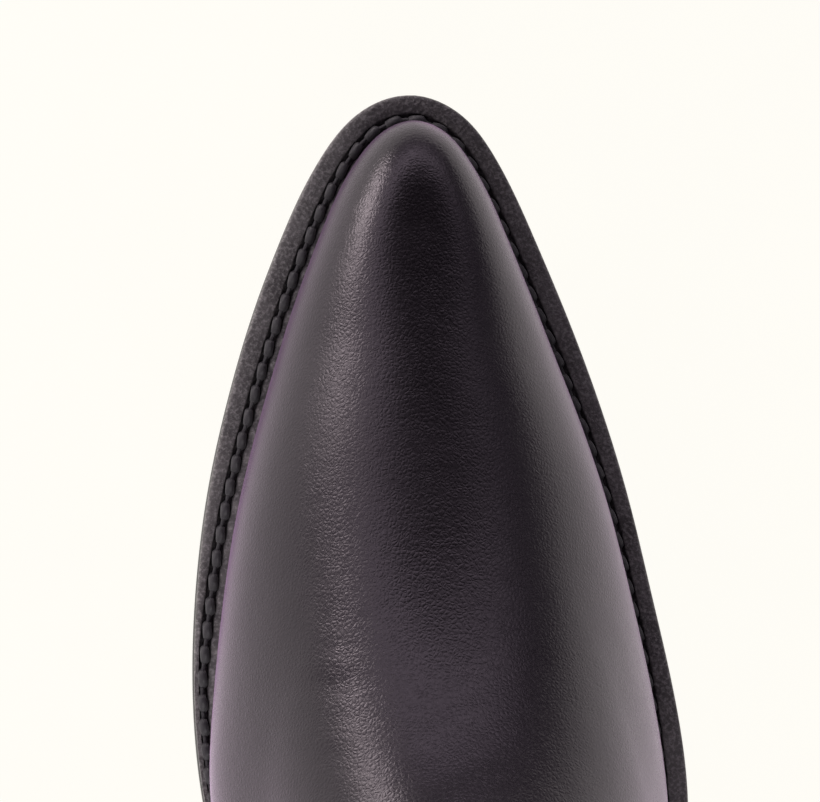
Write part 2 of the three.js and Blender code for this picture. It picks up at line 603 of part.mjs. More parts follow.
function bindingSection() {
  const chamfer = BINDING_THICKNESS;
  const right = [
    [BINDING_INNER, BINDING_CLEARANCE], [BINDING_INNER, -BINDING_DEPTH],
    [BINDING_OUTER, -BINDING_DEPTH], [BINDING_OUTER, BINDING_TOP - chamfer],
    [BINDING_OUTER - chamfer, BINDING_TOP],
  ];
  return [...right, ...right.map(([w, h]) => [-w, h]).reverse()];
}
function topEdge() {
  const frontPart = FRONT_ANGLES.slice(1, -1).map((degrees) =>
    [front, frontTop(Math.abs(degrees)), degrees]);
  const rearPart = REAR_ANGLES.slice(1, -1).reverse().map((degrees) =>
    [rear, rearTop(Math.abs(degrees)), degrees]);
  const at = ([surface, u, degrees]) => {
    const normal = normalAt(surface, u, radians(degrees));
    return { middle: surface(u, radians(degrees)).addScaledVector(normal, WALL_MIDDLE), normal };
  };
  const seam = (side) => {
    const normal = seamNormal(RING_TOP, side);
    const middle = front(RING_TOP, side * RIGHT_ANGLE).addScaledVector(normal, WALL_MIDDLE);
    return { middle, normal };
  };
  return [seam(-1), ...frontPart.map(at), seam(1), ...rearPart.map(at)];
}
{
  const edge = topEdge();
  const rings = edge.map(({ middle, normal }, i) => {
    const next = edge[(i + 1) % edge.length].middle;
    const before = edge.at(i - 1).middle;
    const up = next.clone().sub(before).cross(normal).normalize();
    return bindingSection().map(([w, h]) =>
      middle.clone().addScaledVector(normal, w).addScaledVector(up, h));
  });
  add("top_binding", sweep(rings, { closed: true }), "upper");
}

// ---------------------------------------------------------------- pull straps
// Sewn-down ends of a strap, on the outer or the inner face of the wall.
function tail(side, layer) {
  const columns = steps(4, -STRAP_WIDTH / 2, STRAP_WIDTH / 2); // negative: in front of the seam
  const rows = steps(6, TAIL_BOTTOM, TAIL_TOP);
  const faceAt = (offset) => rows.map((u) => {
    const row = columns.map((distance) => {
      const surface = distance < 0 ? front : rear;
      if (distance === 0)
        return front(u, side * RIGHT_ANGLE).addScaledVector(seamNormal(u, side), offset);
      return onSurface(surface, u, nearSeam(surface, u, side, Math.abs(distance)), offset);
    });
    return side > 0 ? row : row.reverse();
  });
  return skin(faceAt(layer[1]), faceAt(layer[0]));
}
// Half of the loop's middle line: distance out from the wall's middle, height above the top edge.
const LEAF = BINDING_OUTER + PIVOT_CLEARANCE + STRAP_THICKNESS / 2;
const LOOP_HALF = [
  [0, LEAF, 0.2], [1, LEAF + 0.6, LOOP_HEIGHT * 0.12], [2, LOOP_HALF_WIDTH - 0.9, LOOP_HEIGHT * 0.35],
  [3, LOOP_HALF_WIDTH, LOOP_HEIGHT * 0.58], [4, LOOP_HALF_WIDTH - 1.2, LOOP_HEIGHT * 0.8],
  [5, LOOP_HALF_WIDTH * 0.5, LOOP_HEIGHT * 0.95], [6, 0, LOOP_HEIGHT],
];
const loopLine = spline([
  ...LOOP_HALF,
  ...LOOP_HALF.slice(0, -1).reverse().map(([i, w, h]) => [12 - i, -w, h]),
]);
function loop(side) {
  const normal = new THREE.Vector3(side, 0, 0);
  const pivot = front(RING_TOP, side * RIGHT_ANGLE)
    .addScaledVector(seamNormal(RING_TOP, side), WALL_MIDDLE);
  const half = STRAP_WIDTH / 2;
  // The strap follows the curve of the top edge.
  const [ahead, behind] = [front, rear].map((surface) =>
    Math.abs(surface(RING_TOP, nearSeam(surface, RING_TOP, side, half)).x - pivot.x
      + side * WALL_MIDDLE));
  const rings = steps(24, 0, 12).map((at) => {
    const [w, h] = loopLine(at);
    const [w1, h1] = loopLine(at + 0.02);
    const [w0, h0] = loopLine(at - 0.02);
    const out = new THREE.Vector2(h0 - h1, w1 - w0).normalize().multiplyScalar(-1);
    const straighten = mix(1, 0.3, clamp(h / LOOP_HEIGHT, 0, 1));
    const bow = (share) => (share > 0 ? ahead : behind) * straighten * share * share;
    const point = (share, depth) => pivot.clone()
      .addScaledVector(normal, w + out.x * depth - bow(share))
      .add(new THREE.Vector3(0, half * share, h + out.y * depth));
    const line = (depth, from, to) => steps(4, from, to).map((share) => point(share, depth));
    const ring = [...line(STRAP_THICKNESS / 2, -1, 1), ...line(-STRAP_THICKNESS / 2, 1, -1)];
    return side > 0 ? ring : ring.reverse();
  });
  return sweep(rings);
}
for (const [name, side] of [["outer", 1], ["inner", -1]]) {
  const outside = PANEL_OUTER + GAP;
  const inside = LINING_LAYER[0] - GAP;
  add(`pull_tail_${name}_outside`, tail(side, [outside, outside + STRAP_THICKNESS]), "upper");
  add(`pull_tail_${name}_inside`, tail(side, [inside - STRAP_THICKNESS, inside]), "upper");
  add(`pull_loop_${name}`, loop(side), "upper");
}

// ---------------------------------------------------------------- the bottom's outline
// t runs from 0 at the toe to HEEL_BACK at the back of the heel, positive on the outer side.
const HEEL_BACK = FEATHER_CORNER + 90;
const SIDE_ROWS = [...TOE_ROWS, ...WAIST_ROWS];
const HEEL_ROWS = REAR_ANGLES.filter((a) => a >= 0 && a < 90)
  .map((a) => HEEL_BACK - a)
  .sort((a, b) => a - b);
const SOLE_ROWS = [...SIDE_ROWS, ...HEEL_ROWS];

function outline(t) {
  const side = t < 0 ? -1 : 1;
  if (Math.abs(t) <= FEATHER_CORNER) {
    const [x, along] = feather(t);
    return new THREE.Vector2(x, -along);
  }
  const p = rear(FEATHER_CORNER, side * radians(HEEL_BACK - Math.abs(t)));
  return new THREE.Vector2(p.x, p.y);
}
// Point on the outline moved outward, standing some height above the outsole's top face.
function rim(t, outward, height) {
  const p = outline(t);
  const ahead = outline(t + 0.5).sub(outline(t - 0.5)).normalize();
  p.add(new THREE.Vector2(-ahead.y, ahead.x).multiplyScalar(outward));
  return new THREE.Vector3(p.x, p.y, soleTop(-p.y) + height);
}
const sideOf = (curve, t) => curve(-outline(t).y)[t < 0 ? 0 : 1];
const extension = (t) => sideOf(extensionCurve, t);
const WALL = -LINING_LAYER[0]; // thickness of the whole wall
const WELT_INNER = 8; // the welt reaches this far in under the wall, less round the toe
const WELT_INNER_TOE = 5.6;
const inset = (t) => -mix(WELT_INNER_TOE, WELT_INNER, smoothstep(0, 30, Math.abs(t)));

// A plate across the whole foot; its edge stands outward(t) beyond the outline.
function plate(outward, bottom, top) {
  const isEnd = (t) => t === 0 || t === HEEL_BACK; // both sides meet here
  const grid = (height) => SOLE_ROWS.map((t) =>
    [isEnd(t) ? t : -t, t].map((s) => rim(s, outward(s), height)));
  return skin(grid(top), grid(bottom), { start: "folded", end: "folded" });
}

// ---------------------------------------------------------------- sole
const inside = (t) => inset(t) - GAP;
function shankStrip(grow, headroom = 0) {
  const halfWidth = SHANK_WIDTH / 2 + grow;
  const ends = [SHANK_FRONT - grow, SHANK_FRONT + SHANK_LENGTH + grow];
  const rows = steps(10, ...ends.map((along) => along * LENGTH_SCALE));
  const bottom = 2 * GAP + 0.3 - grow;
  const grid = (height) => rows.map((along) => [-halfWidth, halfWidth].map((x) =>
    new THREE.Vector3(CENTRE_X + x, -along, soleTop(along) + height)));
  return skin(grid(bottom + SHANK_THICKNESS + 2 * grow + headroom), grid(bottom));
}
add("outsole", plate(extension, -OUTSOLE_THICKNESS, 0), "outsole");
add("bottom_filler", cutFrom(plate(inside, GAP, WELT_TOP), [shankStrip(GAP, WELT_TOP)]), "cork");
add("shank", shankStrip(0), "steel");
add("insole", plate(() => -WALL - GAP, FEATHER, FEATHER + INSOLE_THICKNESS), "insole");
const SOCK_BOTTOM = FEATHER + INSOLE_THICKNESS + GAP;
add("sock_lining", plate(() => -WALL - 2 * GAP, SOCK_BOTTOM, SOCK_BOTTOM + SOCK_THICKNESS), "lining");

const WELT_ROWS = SIDE_ROWS.slice(0, -3);
const WELT_END = WELT_ROWS.at(-1);
const bothSides = (rows) => [...rows.slice(1).reverse().map((t) => -t), ...rows];
const stitchLine = (t) =>
  Math.min(sideOf(bulgeCurve, t) + STITCH_FROM_UPPER, extension(t) - STITCH_FROM_EDGE);
function weltRing(t) {
  const seam = stitchLine(t);
  const floor = WELT_TOP - GROOVE_DEPTH;
  const section = [
    [inset(t), GAP], [extension(t), GAP], [extension(t), WELT_TOP],
    [seam + GROOVE_HALF_WIDTH, WELT_TOP], [seam + GROOVE_HALF_WIDTH, floor],
    [seam - GROOVE_HALF_WIDTH, floor], [seam - GROOVE_HALF_WIDTH, WELT_TOP], [inset(t), WELT_TOP],
  ];
  return section.map(([outward, height]) => rim(t, outward, height));
}
add("welt", sweep(bothSides(WELT_ROWS).map(weltRing)), "welt");

function randRing(t) {
  const section = [[inset(t), GAP], [extension(t), GAP], [extension(t), WELT_TOP], [inset(t), WELT_TOP]];
  return section.map(([outward, height]) => rim(t, outward, height));
}
{
  const rows = [WELT_END + GAP, ...SIDE_ROWS.slice(-3), ...HEEL_ROWS];
  const back = rows.slice(0, -1).reverse().map((t) => -t);
  add("heel_rand", sweep([...rows.map(randRing), ...back.map(randRing)]), "welt");
}
{
  const count = Math.round(2 * (WELT_END - 4) / STITCH_PITCH);
  const height = WELT_TOP - GROOVE_DEPTH + GAP + THREAD_RADIUS;
  const rings = steps(2 * count, 4 - WELT_END, WELT_END - 4).map((t, i) => {
    const centre = rim(t, stitchLine(t), height);
    const out = rim(t, stitchLine(t) + 1, height).sub(centre).normalize();
    const radius = i % 2 ? THREAD_RADIUS : THREAD_RADIUS * 0.6;
    return ringAbout(centre, out, new THREE.Vector3(0, 0, 1), radius, 4);
  });
  add("welt_thread", sweep(rings), "thread");
}

// ---------------------------------------------------------------- heel
const HEEL_TOP = SEAT - OUTSOLE_THICKNESS;
const breastAlong = HEEL_BREAST * LENGTH_SCALE;
function breastAt(side) {
  let [low, high] = [FEATHER_CORNER, HEEL_BACK];
  for (let i = 0; i < 30; i++) {
    const middle = (low + high) / 2;
    if (-rim(side * middle, extension(side * middle), 0).y < breastAlong) low = middle;
    else high = middle;
  }
  return low;
}
const heelOutline = (() => {
  const between = (side) => HEEL_ROWS.filter((t) => t > breastAt(side) + 2).map((t) => side * t);
  const ts = [-breastAt(-1), ...between(-1), ...between(1).slice(0, -1).reverse(), breastAt(1)];
  return ts.map((t) => rim(t, extension(t), 0));
})();
const heelLength = Math.max(...heelOutline.map((p) => -p.y)) - breastAlong;
function heelRing(z, inward = 0) {
  const low = 1 - z / HEEL_TOP;
  return heelOutline.map((p) => {
    const across = (p.x - CENTRE_X) * (1 - HEEL_TAPER * low);
    const behind = (-p.y - breastAlong) * (1 - HEEL_UNDERCUT * low / heelLength);
    return new THREE.Vector3(CENTRE_X + across, -breastAlong - behind, z);
  });
}
const lift = (bottom, top) => sweep([heelRing(bottom), heelRing(top)]);

const wedgeBottom = soleTop(breastAlong) - OUTSOLE_THICKNESS - GAP - HEEL_WEDGE_FRONT;
const wedgeCutter = plate((t) => extension(t) + 8, -OUTSOLE_THICKNESS - GAP, SEAT_RISE);
add("heel_wedge", cutFrom(lift(wedgeBottom, HEEL_TOP + 2 * GAP), [wedgeCutter]), "heel");
{
  const low = TOP_LIFT_THICKNESS + GAP;
  const pitch = (wedgeBottom - low) / HEEL_LIFTS;
  for (let i = 0; i < HEEL_LIFTS; i++)
    add(`heel_lift_${i + 1}`, lift(low + i * pitch, low + (i + 1) * pitch - GAP), "heel");
}

// Nails follow the top lift's edge, evenly spaced round its back.
function nailSpots() {
  const ring = heelRing(0);
  const centre = new THREE.Vector3(CENTRE_X, -breastAlong - heelLength / 2, 0);
  return steps(NAIL_COUNT - 1, 1, ring.length - 2).map((at) => {
    const i = Math.floor(at);
    const p = ring[i].clone().lerp(ring[Math.min(i + 1, ring.length - 1)], at - i);
    const toCentre = centre.clone().sub(p);
    return p.add(toCentre.setLength(NAIL_INSET));
  });
}
function pin(spot, radius, bottom, top) {
  const [x, y] = [new THREE.Vector3(1, 0, 0), new THREE.Vector3(0, 1, 0)];
  return sweep([bottom, top].map((z) => ringAbout(spot.clone().setZ(z), x, y, radius, 8)));
}
{
  const spots = nailSpots();
  const holes = spots.map((spot) => pin(spot, NAIL_RADIUS + GAP, -1, NAIL_LENGTH + GAP));
  add("top_lift", cutFrom(lift(0, TOP_LIFT_THICKNESS), holes), "rubber");
  spots.forEach((spot, i) => add(`heel_nail_${i + 1}`, pin(spot, NAIL_RADIUS, 0, NAIL_LENGTH), "brass"));
}

// ---------------------------------------------------------------- frame: origin under the middle
const box = new THREE.Box3().setFromObject(boot);
boot.position.set(-(box.min.x + box.max.x) / 2, -(box.min.y + box.max.y) / 2, -box.min.z);

export default boot;
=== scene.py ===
import math

import bmesh
import bpy
import numpy as np
from mathutils import Matrix, Vector


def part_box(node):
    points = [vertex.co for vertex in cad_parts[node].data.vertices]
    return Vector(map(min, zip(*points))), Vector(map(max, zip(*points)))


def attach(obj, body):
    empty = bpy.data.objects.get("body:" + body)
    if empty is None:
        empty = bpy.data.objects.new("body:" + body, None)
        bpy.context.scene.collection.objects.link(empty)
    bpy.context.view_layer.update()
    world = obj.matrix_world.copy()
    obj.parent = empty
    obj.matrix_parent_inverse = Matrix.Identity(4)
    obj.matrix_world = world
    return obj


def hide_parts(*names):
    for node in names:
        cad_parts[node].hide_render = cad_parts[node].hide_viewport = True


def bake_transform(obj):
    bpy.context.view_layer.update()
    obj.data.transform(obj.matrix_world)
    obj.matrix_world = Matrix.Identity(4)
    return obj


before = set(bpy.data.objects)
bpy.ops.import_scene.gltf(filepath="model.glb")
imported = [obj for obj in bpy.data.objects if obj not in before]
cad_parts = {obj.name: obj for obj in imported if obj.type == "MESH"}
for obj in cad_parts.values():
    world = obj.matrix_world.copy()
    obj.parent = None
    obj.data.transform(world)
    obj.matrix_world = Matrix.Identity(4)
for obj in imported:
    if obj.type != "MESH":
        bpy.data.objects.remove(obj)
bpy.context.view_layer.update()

# ---- sizes, in millimetres
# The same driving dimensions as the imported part, so that every visual layer lies on its solid.
MM = 0.001
LAST_LENGTH = 277.8
TOE_SPRING = 13.3
SEAT_RISE = 41.6
SHAFT_HEIGHT = 279
FRONT_DIP = 36
BACK_DIP = 30
OUTSOLE = 4.5
WELT = 2.7
GAP = 0.3
UPPER = 1.6
PANEL = 1.5
LINING = 1.1
CENTRE_X = 6.5
PIPING_RADIUS = 1.4
BINDING_THICKNESS = 0.9
BINDING_DEPTH = 3.5
BINDING_CLEARANCE = 0.35
STRAP_WIDTH = 30
STRAP_THICKNESS = 1.6
STRAP_TAIL = 62
LOOP_HEIGHT = 34
LOOP_HALF_WIDTH = 7.5
PIVOT_CLEARANCE = 0.5
HEEL_BREAST = 216
HEEL_WEDGE_FRONT = 2.5
HEEL_LIFTS = 4
TOP_LIFT = 6.5
HEEL_UNDERCUT = 9
HEEL_TAPER = 0.13
WELT_TOP = GAP + WELT
FEATHER = WELT_TOP + GAP
BALL = 98
TOE = -7
BULGE_HEIGHT = 42
TOE_FULLNESS = 1.2
STITCH_FROM_UPPER = 1.2
STITCH_FROM_EDGE = 1.55
STITCH_PITCH = 4.8
GROOVE_HALF = 1.2
GROOVE_DEPTH = 0.9
WELT_CORNER = 0.85
RAND_CORNER = 0.6
WELT_END = 186
SOLE_SEAM_INSET = 5.2
PEG_PROFILE = ((0.9, 0.3), (0.9, 0.0), (0.75, -0.1), (0.05, -0.14))  # radius, height
PEG_ROWS = (6.5, 10.5)  # in from the edge
PEG_WAIST = (148, 206)
PEG_PITCH = 6.2
BREAST_HOLLOW = 1.6
BREAST_HALF = 33
EDGE_ROWS = (2.2, 4.6)  # stitch rows below the edges of the vamp and the counter cover
SEAM_ROW = 3.4
FLAMES = 6
CORNER_U = 225
QUARTER = math.pi / 2

UPPER_LAYER = (-UPPER, 0)
PANEL_OUTER = -UPPER - GAP
PANEL_LAYER = (PANEL_OUTER - PANEL, PANEL_OUTER)
LINING_LAYER = (PANEL_LAYER[0] - GAP - LINING, PANEL_LAYER[0] - GAP)
WALL_MIDDLE = (PANEL_OUTER + LINING_LAYER[0]) / 2

# Rings of the foot: ring number, centre line x and along, then the feather line's outer x, along
# and inner x.
FOOT_RINGS = [
    (0, -0.5, 20.3, -0.5, 0, -0.5), (5.5, -0.5, 20.5, 4.7, 1.7, -5.6), (12, -0.4, 21.4, 9, 6, -9.9),
    (22, -0.2, 23.8, 14.2, 14.8, -14.9), (33, 0, 28.8, 18.9, 24.8, -19),
    (44, 0.2, 36.8, 23.4, 34.8, -22.6), (66, 0.8, 55.3, 31.7, 54.8, -28.5),
    (87.5, 1.5, 74.8, 38.5, 74.8, -33.2), (107, 2.2, 93.8, 43, 93.8, -35.9),
    (128, 3, 113.8, 46.7, 113.8, -37.4), (144, 3.6, 128.8, 48.4, 129.8, -37.2),
    (157, 4.1, 139.8, 48.4, 142.8, -35.3), (178, 4.9, 152.8, 46.2, 162.8, -30.6),
    (200, 5.8, 162.8, 41.4, 182.8, -26), (225, 6.4, 169.3, 36.8, 206.8, -23.2),
]
CREST = [
    (-2, 20.8), (8, 23.8), (20.3, 27.9), (36.8, 34), (55.3, 40.8), (74.8, 47.6), (93.8, 54.6),
    (113.8, 63.4), (128.8, 72), (139.8, 79.2), (152.8, 88.2), (162.8, 95.8), (169.3, 103),
]
# Rings of the leg: height over the seat, front along and height, back along and height,
# outer x, inner x and along of the seam, fullness of the rear arc.
ANKLE_RINGS = [
    (14, 172.5, 83, 280.4, 24, 37.6, -24.6, 208.4, 2.8),
    (39, 174.5, 97, 279.6, 46, 39.6, -26.8, 211.5, 2.5),
    (69, 175.2, 114, 275.4, 71.5, 42.2, -29.4, 215.6, 2.3),
    (104, 174, 134, 273.2, 104, 45, -32.2, 218.8, 2.2),
]
SHAFT_RINGS = [
    (0.2, 171, 17, 274.6, 42.6, 220.4), (0.4, 167.6, 7, 277, 45.4, 221),
    (0.6, 164.2, 1, 280, 47.8, 220.8), (0.8, 161, 0, 283, 49.7, 220),
    (1, 158.6, 0, 285.6, 51, 219.2),
]
BULGE = [
    (-8, 1.2, 1.2), (20, 1.3, 1.3), (55, 1.6, 1.6), (94, 2, 1.9), (114, 2.4, 2.1),
    (135, 3.5, 2.3), (165, 4.2, 2.4), (190, 4.2, 2.4), (215, 3, 2), (250, 1.7, 1.6),
    (290, 1.4, 1.4),
]
EXTENSION = [
    (-8, 7.2, 7.2), (10, 7.4, 7.5), (25, 7.6, 7.8), (55, 7.5, 7.8), (75, 6.8, 7.5), (94, 6, 7.7),
    (114, 4.7, 8.4), (130, 3.4, 8.8), (143, 2.9, 8.4), (163, 2.9, 6.8), (183, 3.1, 5.2),
    (207, 3.1, 3.6), (235, 2.5, 2.5), (285, 2.3, 2.3),
]
SEAT_SHAPE = [
    (112, 0), (120, 0.001), (132.8, 0.022), (147.8, 0.089), (162.8, 0.204), (177.8, 0.349),
    (192.8, 0.512), (206.8, 0.651), (220.8, 0.743), (237.8, 0.82), (257.8, 0.904), (280.8, 1),
]


# ---- small mathematics
def mix(a, b, t):
    return a + (b - a) * t


def smoothstep(low, high, x):
    t = np.clip((x - low) / (high - low), 0, 1)
    return t * t * (3 - 2 * t)


def unit(v):
    return v / np.maximum(np.linalg.norm(v, axis=-1, keepdims=True), 1e-12)


def spline(rows):
    """Natural cubic spline through rows (t, value, ...); straight beyond its ends."""
    rows = np.asarray(rows, float)
    t, v = rows[:, 0], rows[:, 1:]
    h = np.diff(t)
    system = np.eye(len(t))
    right = np.zeros_like(v)
    for i in range(1, len(t) - 1):
        system[i, i - 1:i + 2] = h[i - 1], 2 * (h[i - 1] + h[i]), h[i]
        right[i] = 6 * ((v[i + 1] - v[i]) / h[i] - (v[i] - v[i - 1]) / h[i - 1])
    m = np.linalg.solve(system, right)

    def at(x):
        x = np.asarray(x, float)
        inside = np.clip(x, t[0], t[-1])
        i = np.clip(np.searchsorted(t, inside, side="left") - 1, 0, len(t) - 2)
        step = h[i][..., None]
        b = ((inside - t[i]) / h[i])[..., None]
        a = 1 - b
        value = a * v[i] + b * v[i + 1]
        value = value + ((a**3 - a) * m[i] + (b**3 - b) * m[i + 1]) * step * step / 6
        slope = (v[i + 1] - v[i]) / step
        slope = slope + ((1 - 3 * a * a) * m[i] + (3 * b * b - 1) * m[i + 1]) * step / 6
        return value + slope * (x - inside)[..., None]

    return at


def curve(rows):
    """A spline of a single value."""
    at = spline(rows)
    return lambda x: at(x)[..., 0]


# ---- the last
crest_curve = curve(CREST)
seat_curve = curve(SEAT_SHAPE)
bulge_curve = spline(BULGE)
extension_curve = spline(EXTENSION)


def sole_top(along):
    along = np.asarray(along, float)
    spring = np.clip((BALL - along) / (BALL - TOE), 0, 1.02) ** 1.8
    rise = np.where(along < SEAT_SHAPE[0][0], 0, seat_curve(along))
    return OUTSOLE + TOE_SPRING * spring + SEAT_RISE * rise


def crest(along):
    return sole_top(along) + crest_curve(along)


SEAT = float(sole_top(LAST_LENGTH))
CORNER_ALONG = FOOT_RINGS[-1][4]
CORNER = float(sole_top(CORNER_ALONG)) + FEATHER
ANKLE_TOP = ANKLE_RINGS[-1][0]


def leg_row(share, fa, lead, ba, half, sa):
    h = mix(ANKLE_TOP, SHAFT_HEIGHT, share)
    return (h, fa, h + lead, ba, h, CENTRE_X + half, CENTRE_X - half, sa, 2.2)


LEG_ROWS = ANKLE_RINGS + [leg_row(*r) for r in SHAFT_RINGS]


def ring_of_height(height):
    return CORNER_U + SEAT + height - CORNER


RING_TOP = ring_of_height(SHAFT_HEIGHT)
feather = spline([(-r[0], r[5], r[4]) for r in FOOT_RINGS[:0:-1]]
                 + [(r[0], r[3], r[4]) for r in FOOT_RINGS])
CENTRE_ROWS = [(r[0], r[1], r[2], float(crest(r[2]))) for r in FOOT_RINGS]
CENTRE_ROWS += [(ring_of_height(r[0]), CENTRE_X, r[1], SEAT + r[2]) for r in LEG_ROWS]
centre_line = spline([(-r[0],) + r[1:] for r in CENTRE_ROWS[:0:-1]] + CENTRE_ROWS)
seam_line = spline(
    [(CORNER_U, FOOT_RINGS[-1][3], FOOT_RINGS[-1][5], CORNER_ALONG)]
    + [(ring_of_height(r[0]), r[5], r[6], r[7]) for r in LEG_ROWS])
back_line = spline(
    [(CORNER_U, LAST_LENGTH, SEAT + FEATHER, 3)]
    + [(ring_of_height(r[0]), r[3], SEAT + r[4], r[8]) for r in LEG_ROWS])
TOE_POLE = FOOT_RINGS[0][2]
HEEL_POLE = LAST_LENGTH - 30


def swell(x, y, z):
    """The leather swells out over the feather line and comes back in above it."""
    along = -y
    height = np.minimum(BULGE_HEIGHT, crest_curve(np.minimum(along, CORNER_ALONG)) - FEATHER)
    share = np.clip((z - sole_top(along) - FEATHER) / height, 0, 1)
    fx = x - CENTRE_X * smoothstep(0, CORNER_ALONG, along)
    fy = y + np.clip(along, TOE_POLE, HEEL_POLE)
    size = np.maximum(np.hypot(fx, fy), 1e-9)
    fx, fy = fx / size, fy / size
    reach = bulge_curve(along)
    reach = mix(reach[..., 0], reach[..., 1], (1 + fx) / 2) * 6.75 * share * (1 - share) ** 2
    return np.stack([x + fx * reach, y + fy * reach, z], -1)


def front(u, angle):
    u, angle = np.broadcast_arrays(np.asarray(u, float), np.asarray(angle, float))
    angle = np.where(u < 0, -angle, angle)
    u = np.abs(u)
    out = np.abs(angle)
    side = np.where(angle < 0, -1, 1)
    centre = centre_line(u)
    on_foot = u <= CORNER_U
    seam = seam_line(np.maximum(u, CORNER_U))
    edge = feather(side * np.minimum(u, CORNER_U))
    ex = np.where(on_foot, edge[..., 0], np.where(side > 0, seam[..., 0], seam[..., 1]))
    ea = np.where(on_foot, edge[..., 1], seam[..., 2])
    ez = np.where(on_foot, sole_top(ea) + FEATHER, CORNER + u - CORNER_U)
    fullness = mix(2.1, 2.2, smoothstep(CORNER_U - 60, CORNER_U, u))
    fullness = fullness + TOE_FULLNESS * (1 - smoothstep(0, 60, np.abs(u)))
    spread = np.clip(np.sin(out), 0, 1) ** (2 / fullness)
    drop = np.clip(np.cos(out), 0, 1) ** (2 / fullness)
    toe = 1 - smoothstep(66, 128, u)
    along = mix(ea + (centre[..., 1] - ea) * drop, centre[..., 1] + (ea - centre[..., 1]) * spread, toe)
    top = mix(centre[..., 2], crest(along), toe)
    return swell(mix(centre[..., 0], ex, spread), -along, mix(ez, top, drop))


def rear(u, angle):
    u, angle = np.broadcast_arrays(np.asarray(u, float), np.asarray(angle, float))
    out = np.abs(angle)
    seam = seam_line(u)
    back = back_line(u)
    spread = np.clip(np.sin(out), 0, 1) ** (2 / back[..., 2])
    drop = np.clip(np.cos(out), 0, 1) ** (2 / back[..., 2])
    along = mix(seam[..., 2], back[..., 0], drop)
    straight = mix(CORNER, SEAT + FEATHER, (along - CORNER_ALONG) / (LAST_LENGTH - CORNER_ALONG))
    follow = 1 - smoothstep(CORNER_U, CORNER_U + 40, u)
    z = mix(CORNER + u - CORNER_U, back[..., 1], drop) + (sole_top(along) + FEATHER - straight) * follow
    x = mix(CENTRE_X, np.where(angle < 0, seam[..., 1], seam[..., 0]), spread)
    return swell(x, -along, z)


def normals(surface, u, angle):
    """Outward unit normals, by central differences."""
    def once(a):
        du = surface(u + 0.2, a) - surface(u - 0.2, a)
        step = 0.006
        da = surface(u, np.minimum(a + step, QUARTER)) - surface(u, np.maximum(a - step, -QUARTER))
        n = np.cross(du, da) if surface is front else np.cross(da, du)
        return unit(n)
    near = np.abs(angle) < 0.035
    plain = once(np.where(near, 0.035, angle))
    other = once(np.where(near, -0.035, angle))
    blend = np.where(near, 0.5 - angle / 0.07, 0)[..., None]
    return unit(mix(plain, other, blend))


def near_seam(surface, u, side, distance):
    """The angle of a point some millimetres from the side seam, measured square to the seam."""
    seam = surface(u, side * QUARTER)
    along = unit(surface(u + 1, side * QUARTER) - seam)
    angle = np.full(np.shape(u), 0.1)
    for _ in range(3):
        away = surface(u, side * (QUARTER - angle)) - seam
        angle = angle * distance / np.linalg.norm(np.cross(away, along), axis=-1)
    return side * (QUARTER - angle)


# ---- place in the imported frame
SHIFT = np.array([
    sum(p[0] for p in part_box("shank")) / 2 / MM - CENTRE_X,
    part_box("heel_lift_1")[1][1] / MM + HEEL_BREAST,
    0.0,
])


def place(points):
    return (np.asarray(points, float) + SHIFT) * MM


# ---- meshes
class Pile:
    """Collects vertices, faces and material numbers of one object."""

    def __init__(self):
        self.verts, self.faces, self.slots, self.count = [], [], [], 0

    def add(self, verts, faces, slot=0):
        verts = np.asarray(verts, float).reshape(-1, 3)
        faces = np.asarray(faces, int)
        self.verts.append(verts)
        self.faces.append(faces + self.count)
        self.slots.append(np.full(len(faces), slot))
        self.count += len(verts)
        return self

    def grid(self, points, wrap=(False, False), slot=0, flip=False):
        """A sheet of quads between neighbouring points of a rows x columns grid."""
        rows, columns = points.shape[:2]
        index = np.arange(rows * columns).reshape(rows, columns)
        if wrap[0]:
            index = np.concatenate([index, index[:1]])
        if wrap[1]:
            index = np.concatenate([index, index[:, :1]], 1)
        a, b, c, d = index[:-1, :-1], index[1:, :-1], index[1:, 1:], index[:-1, 1:]
        quads = np.stack([a, b, c, d], -1).reshape(-1, 4)
        return self.add(points, quads[:, ::-1] if flip else quads, slot)

    def fan(self, ring, order):
        """Fills a closed ring from its middle."""
        index = np.arange(len(ring))
        faces = np.stack([index, np.roll(index, -1), np.full(len(index), len(index))], 1)
        self.add(np.concatenate([ring, ring.mean(0)[None]]), faces[:, ::order])

    def piece(self, name, materials, slot_name, *nodes, **options):
        """Builds the object, a piece of the boot's own body."""
        return take(self.build(name, materials, **options), "boot", slot_name, *nodes)

    def build(self, name, materials, smooth_angle=None, weld=True):
        mesh = bpy.data.meshes.new(name)
        verts = place(np.concatenate(self.verts))
        faces = [tuple(f) for block in self.faces for f in block]
        mesh.from_pydata(verts.tolist(), [], faces)
        mesh.polygons.foreach_set("material_index", np.concatenate(self.slots).astype(np.int32))
        for material in materials:
            mesh.materials.append(material)
        if weld:
            tidy(mesh)
        mesh.polygons.foreach_set("use_smooth", [True] * len(mesh.polygons))
        obj = bpy.data.objects.new(name, mesh)
        bpy.context.collection.objects.link(obj)
        if smooth_angle:
            mesh.set_sharp_from_angle(angle=math.radians(smooth_angle))
        return obj


def tidy(mesh):
    bm = bmesh.new()
    bm.from_mesh(mesh)
    bmesh.ops.remove_doubles(bm, verts=bm.verts, dist=2e-6)
    bmesh.ops.recalc_face_normals(bm, faces=bm.faces)
    bm.to_mesh(mesh)
    bm.free()


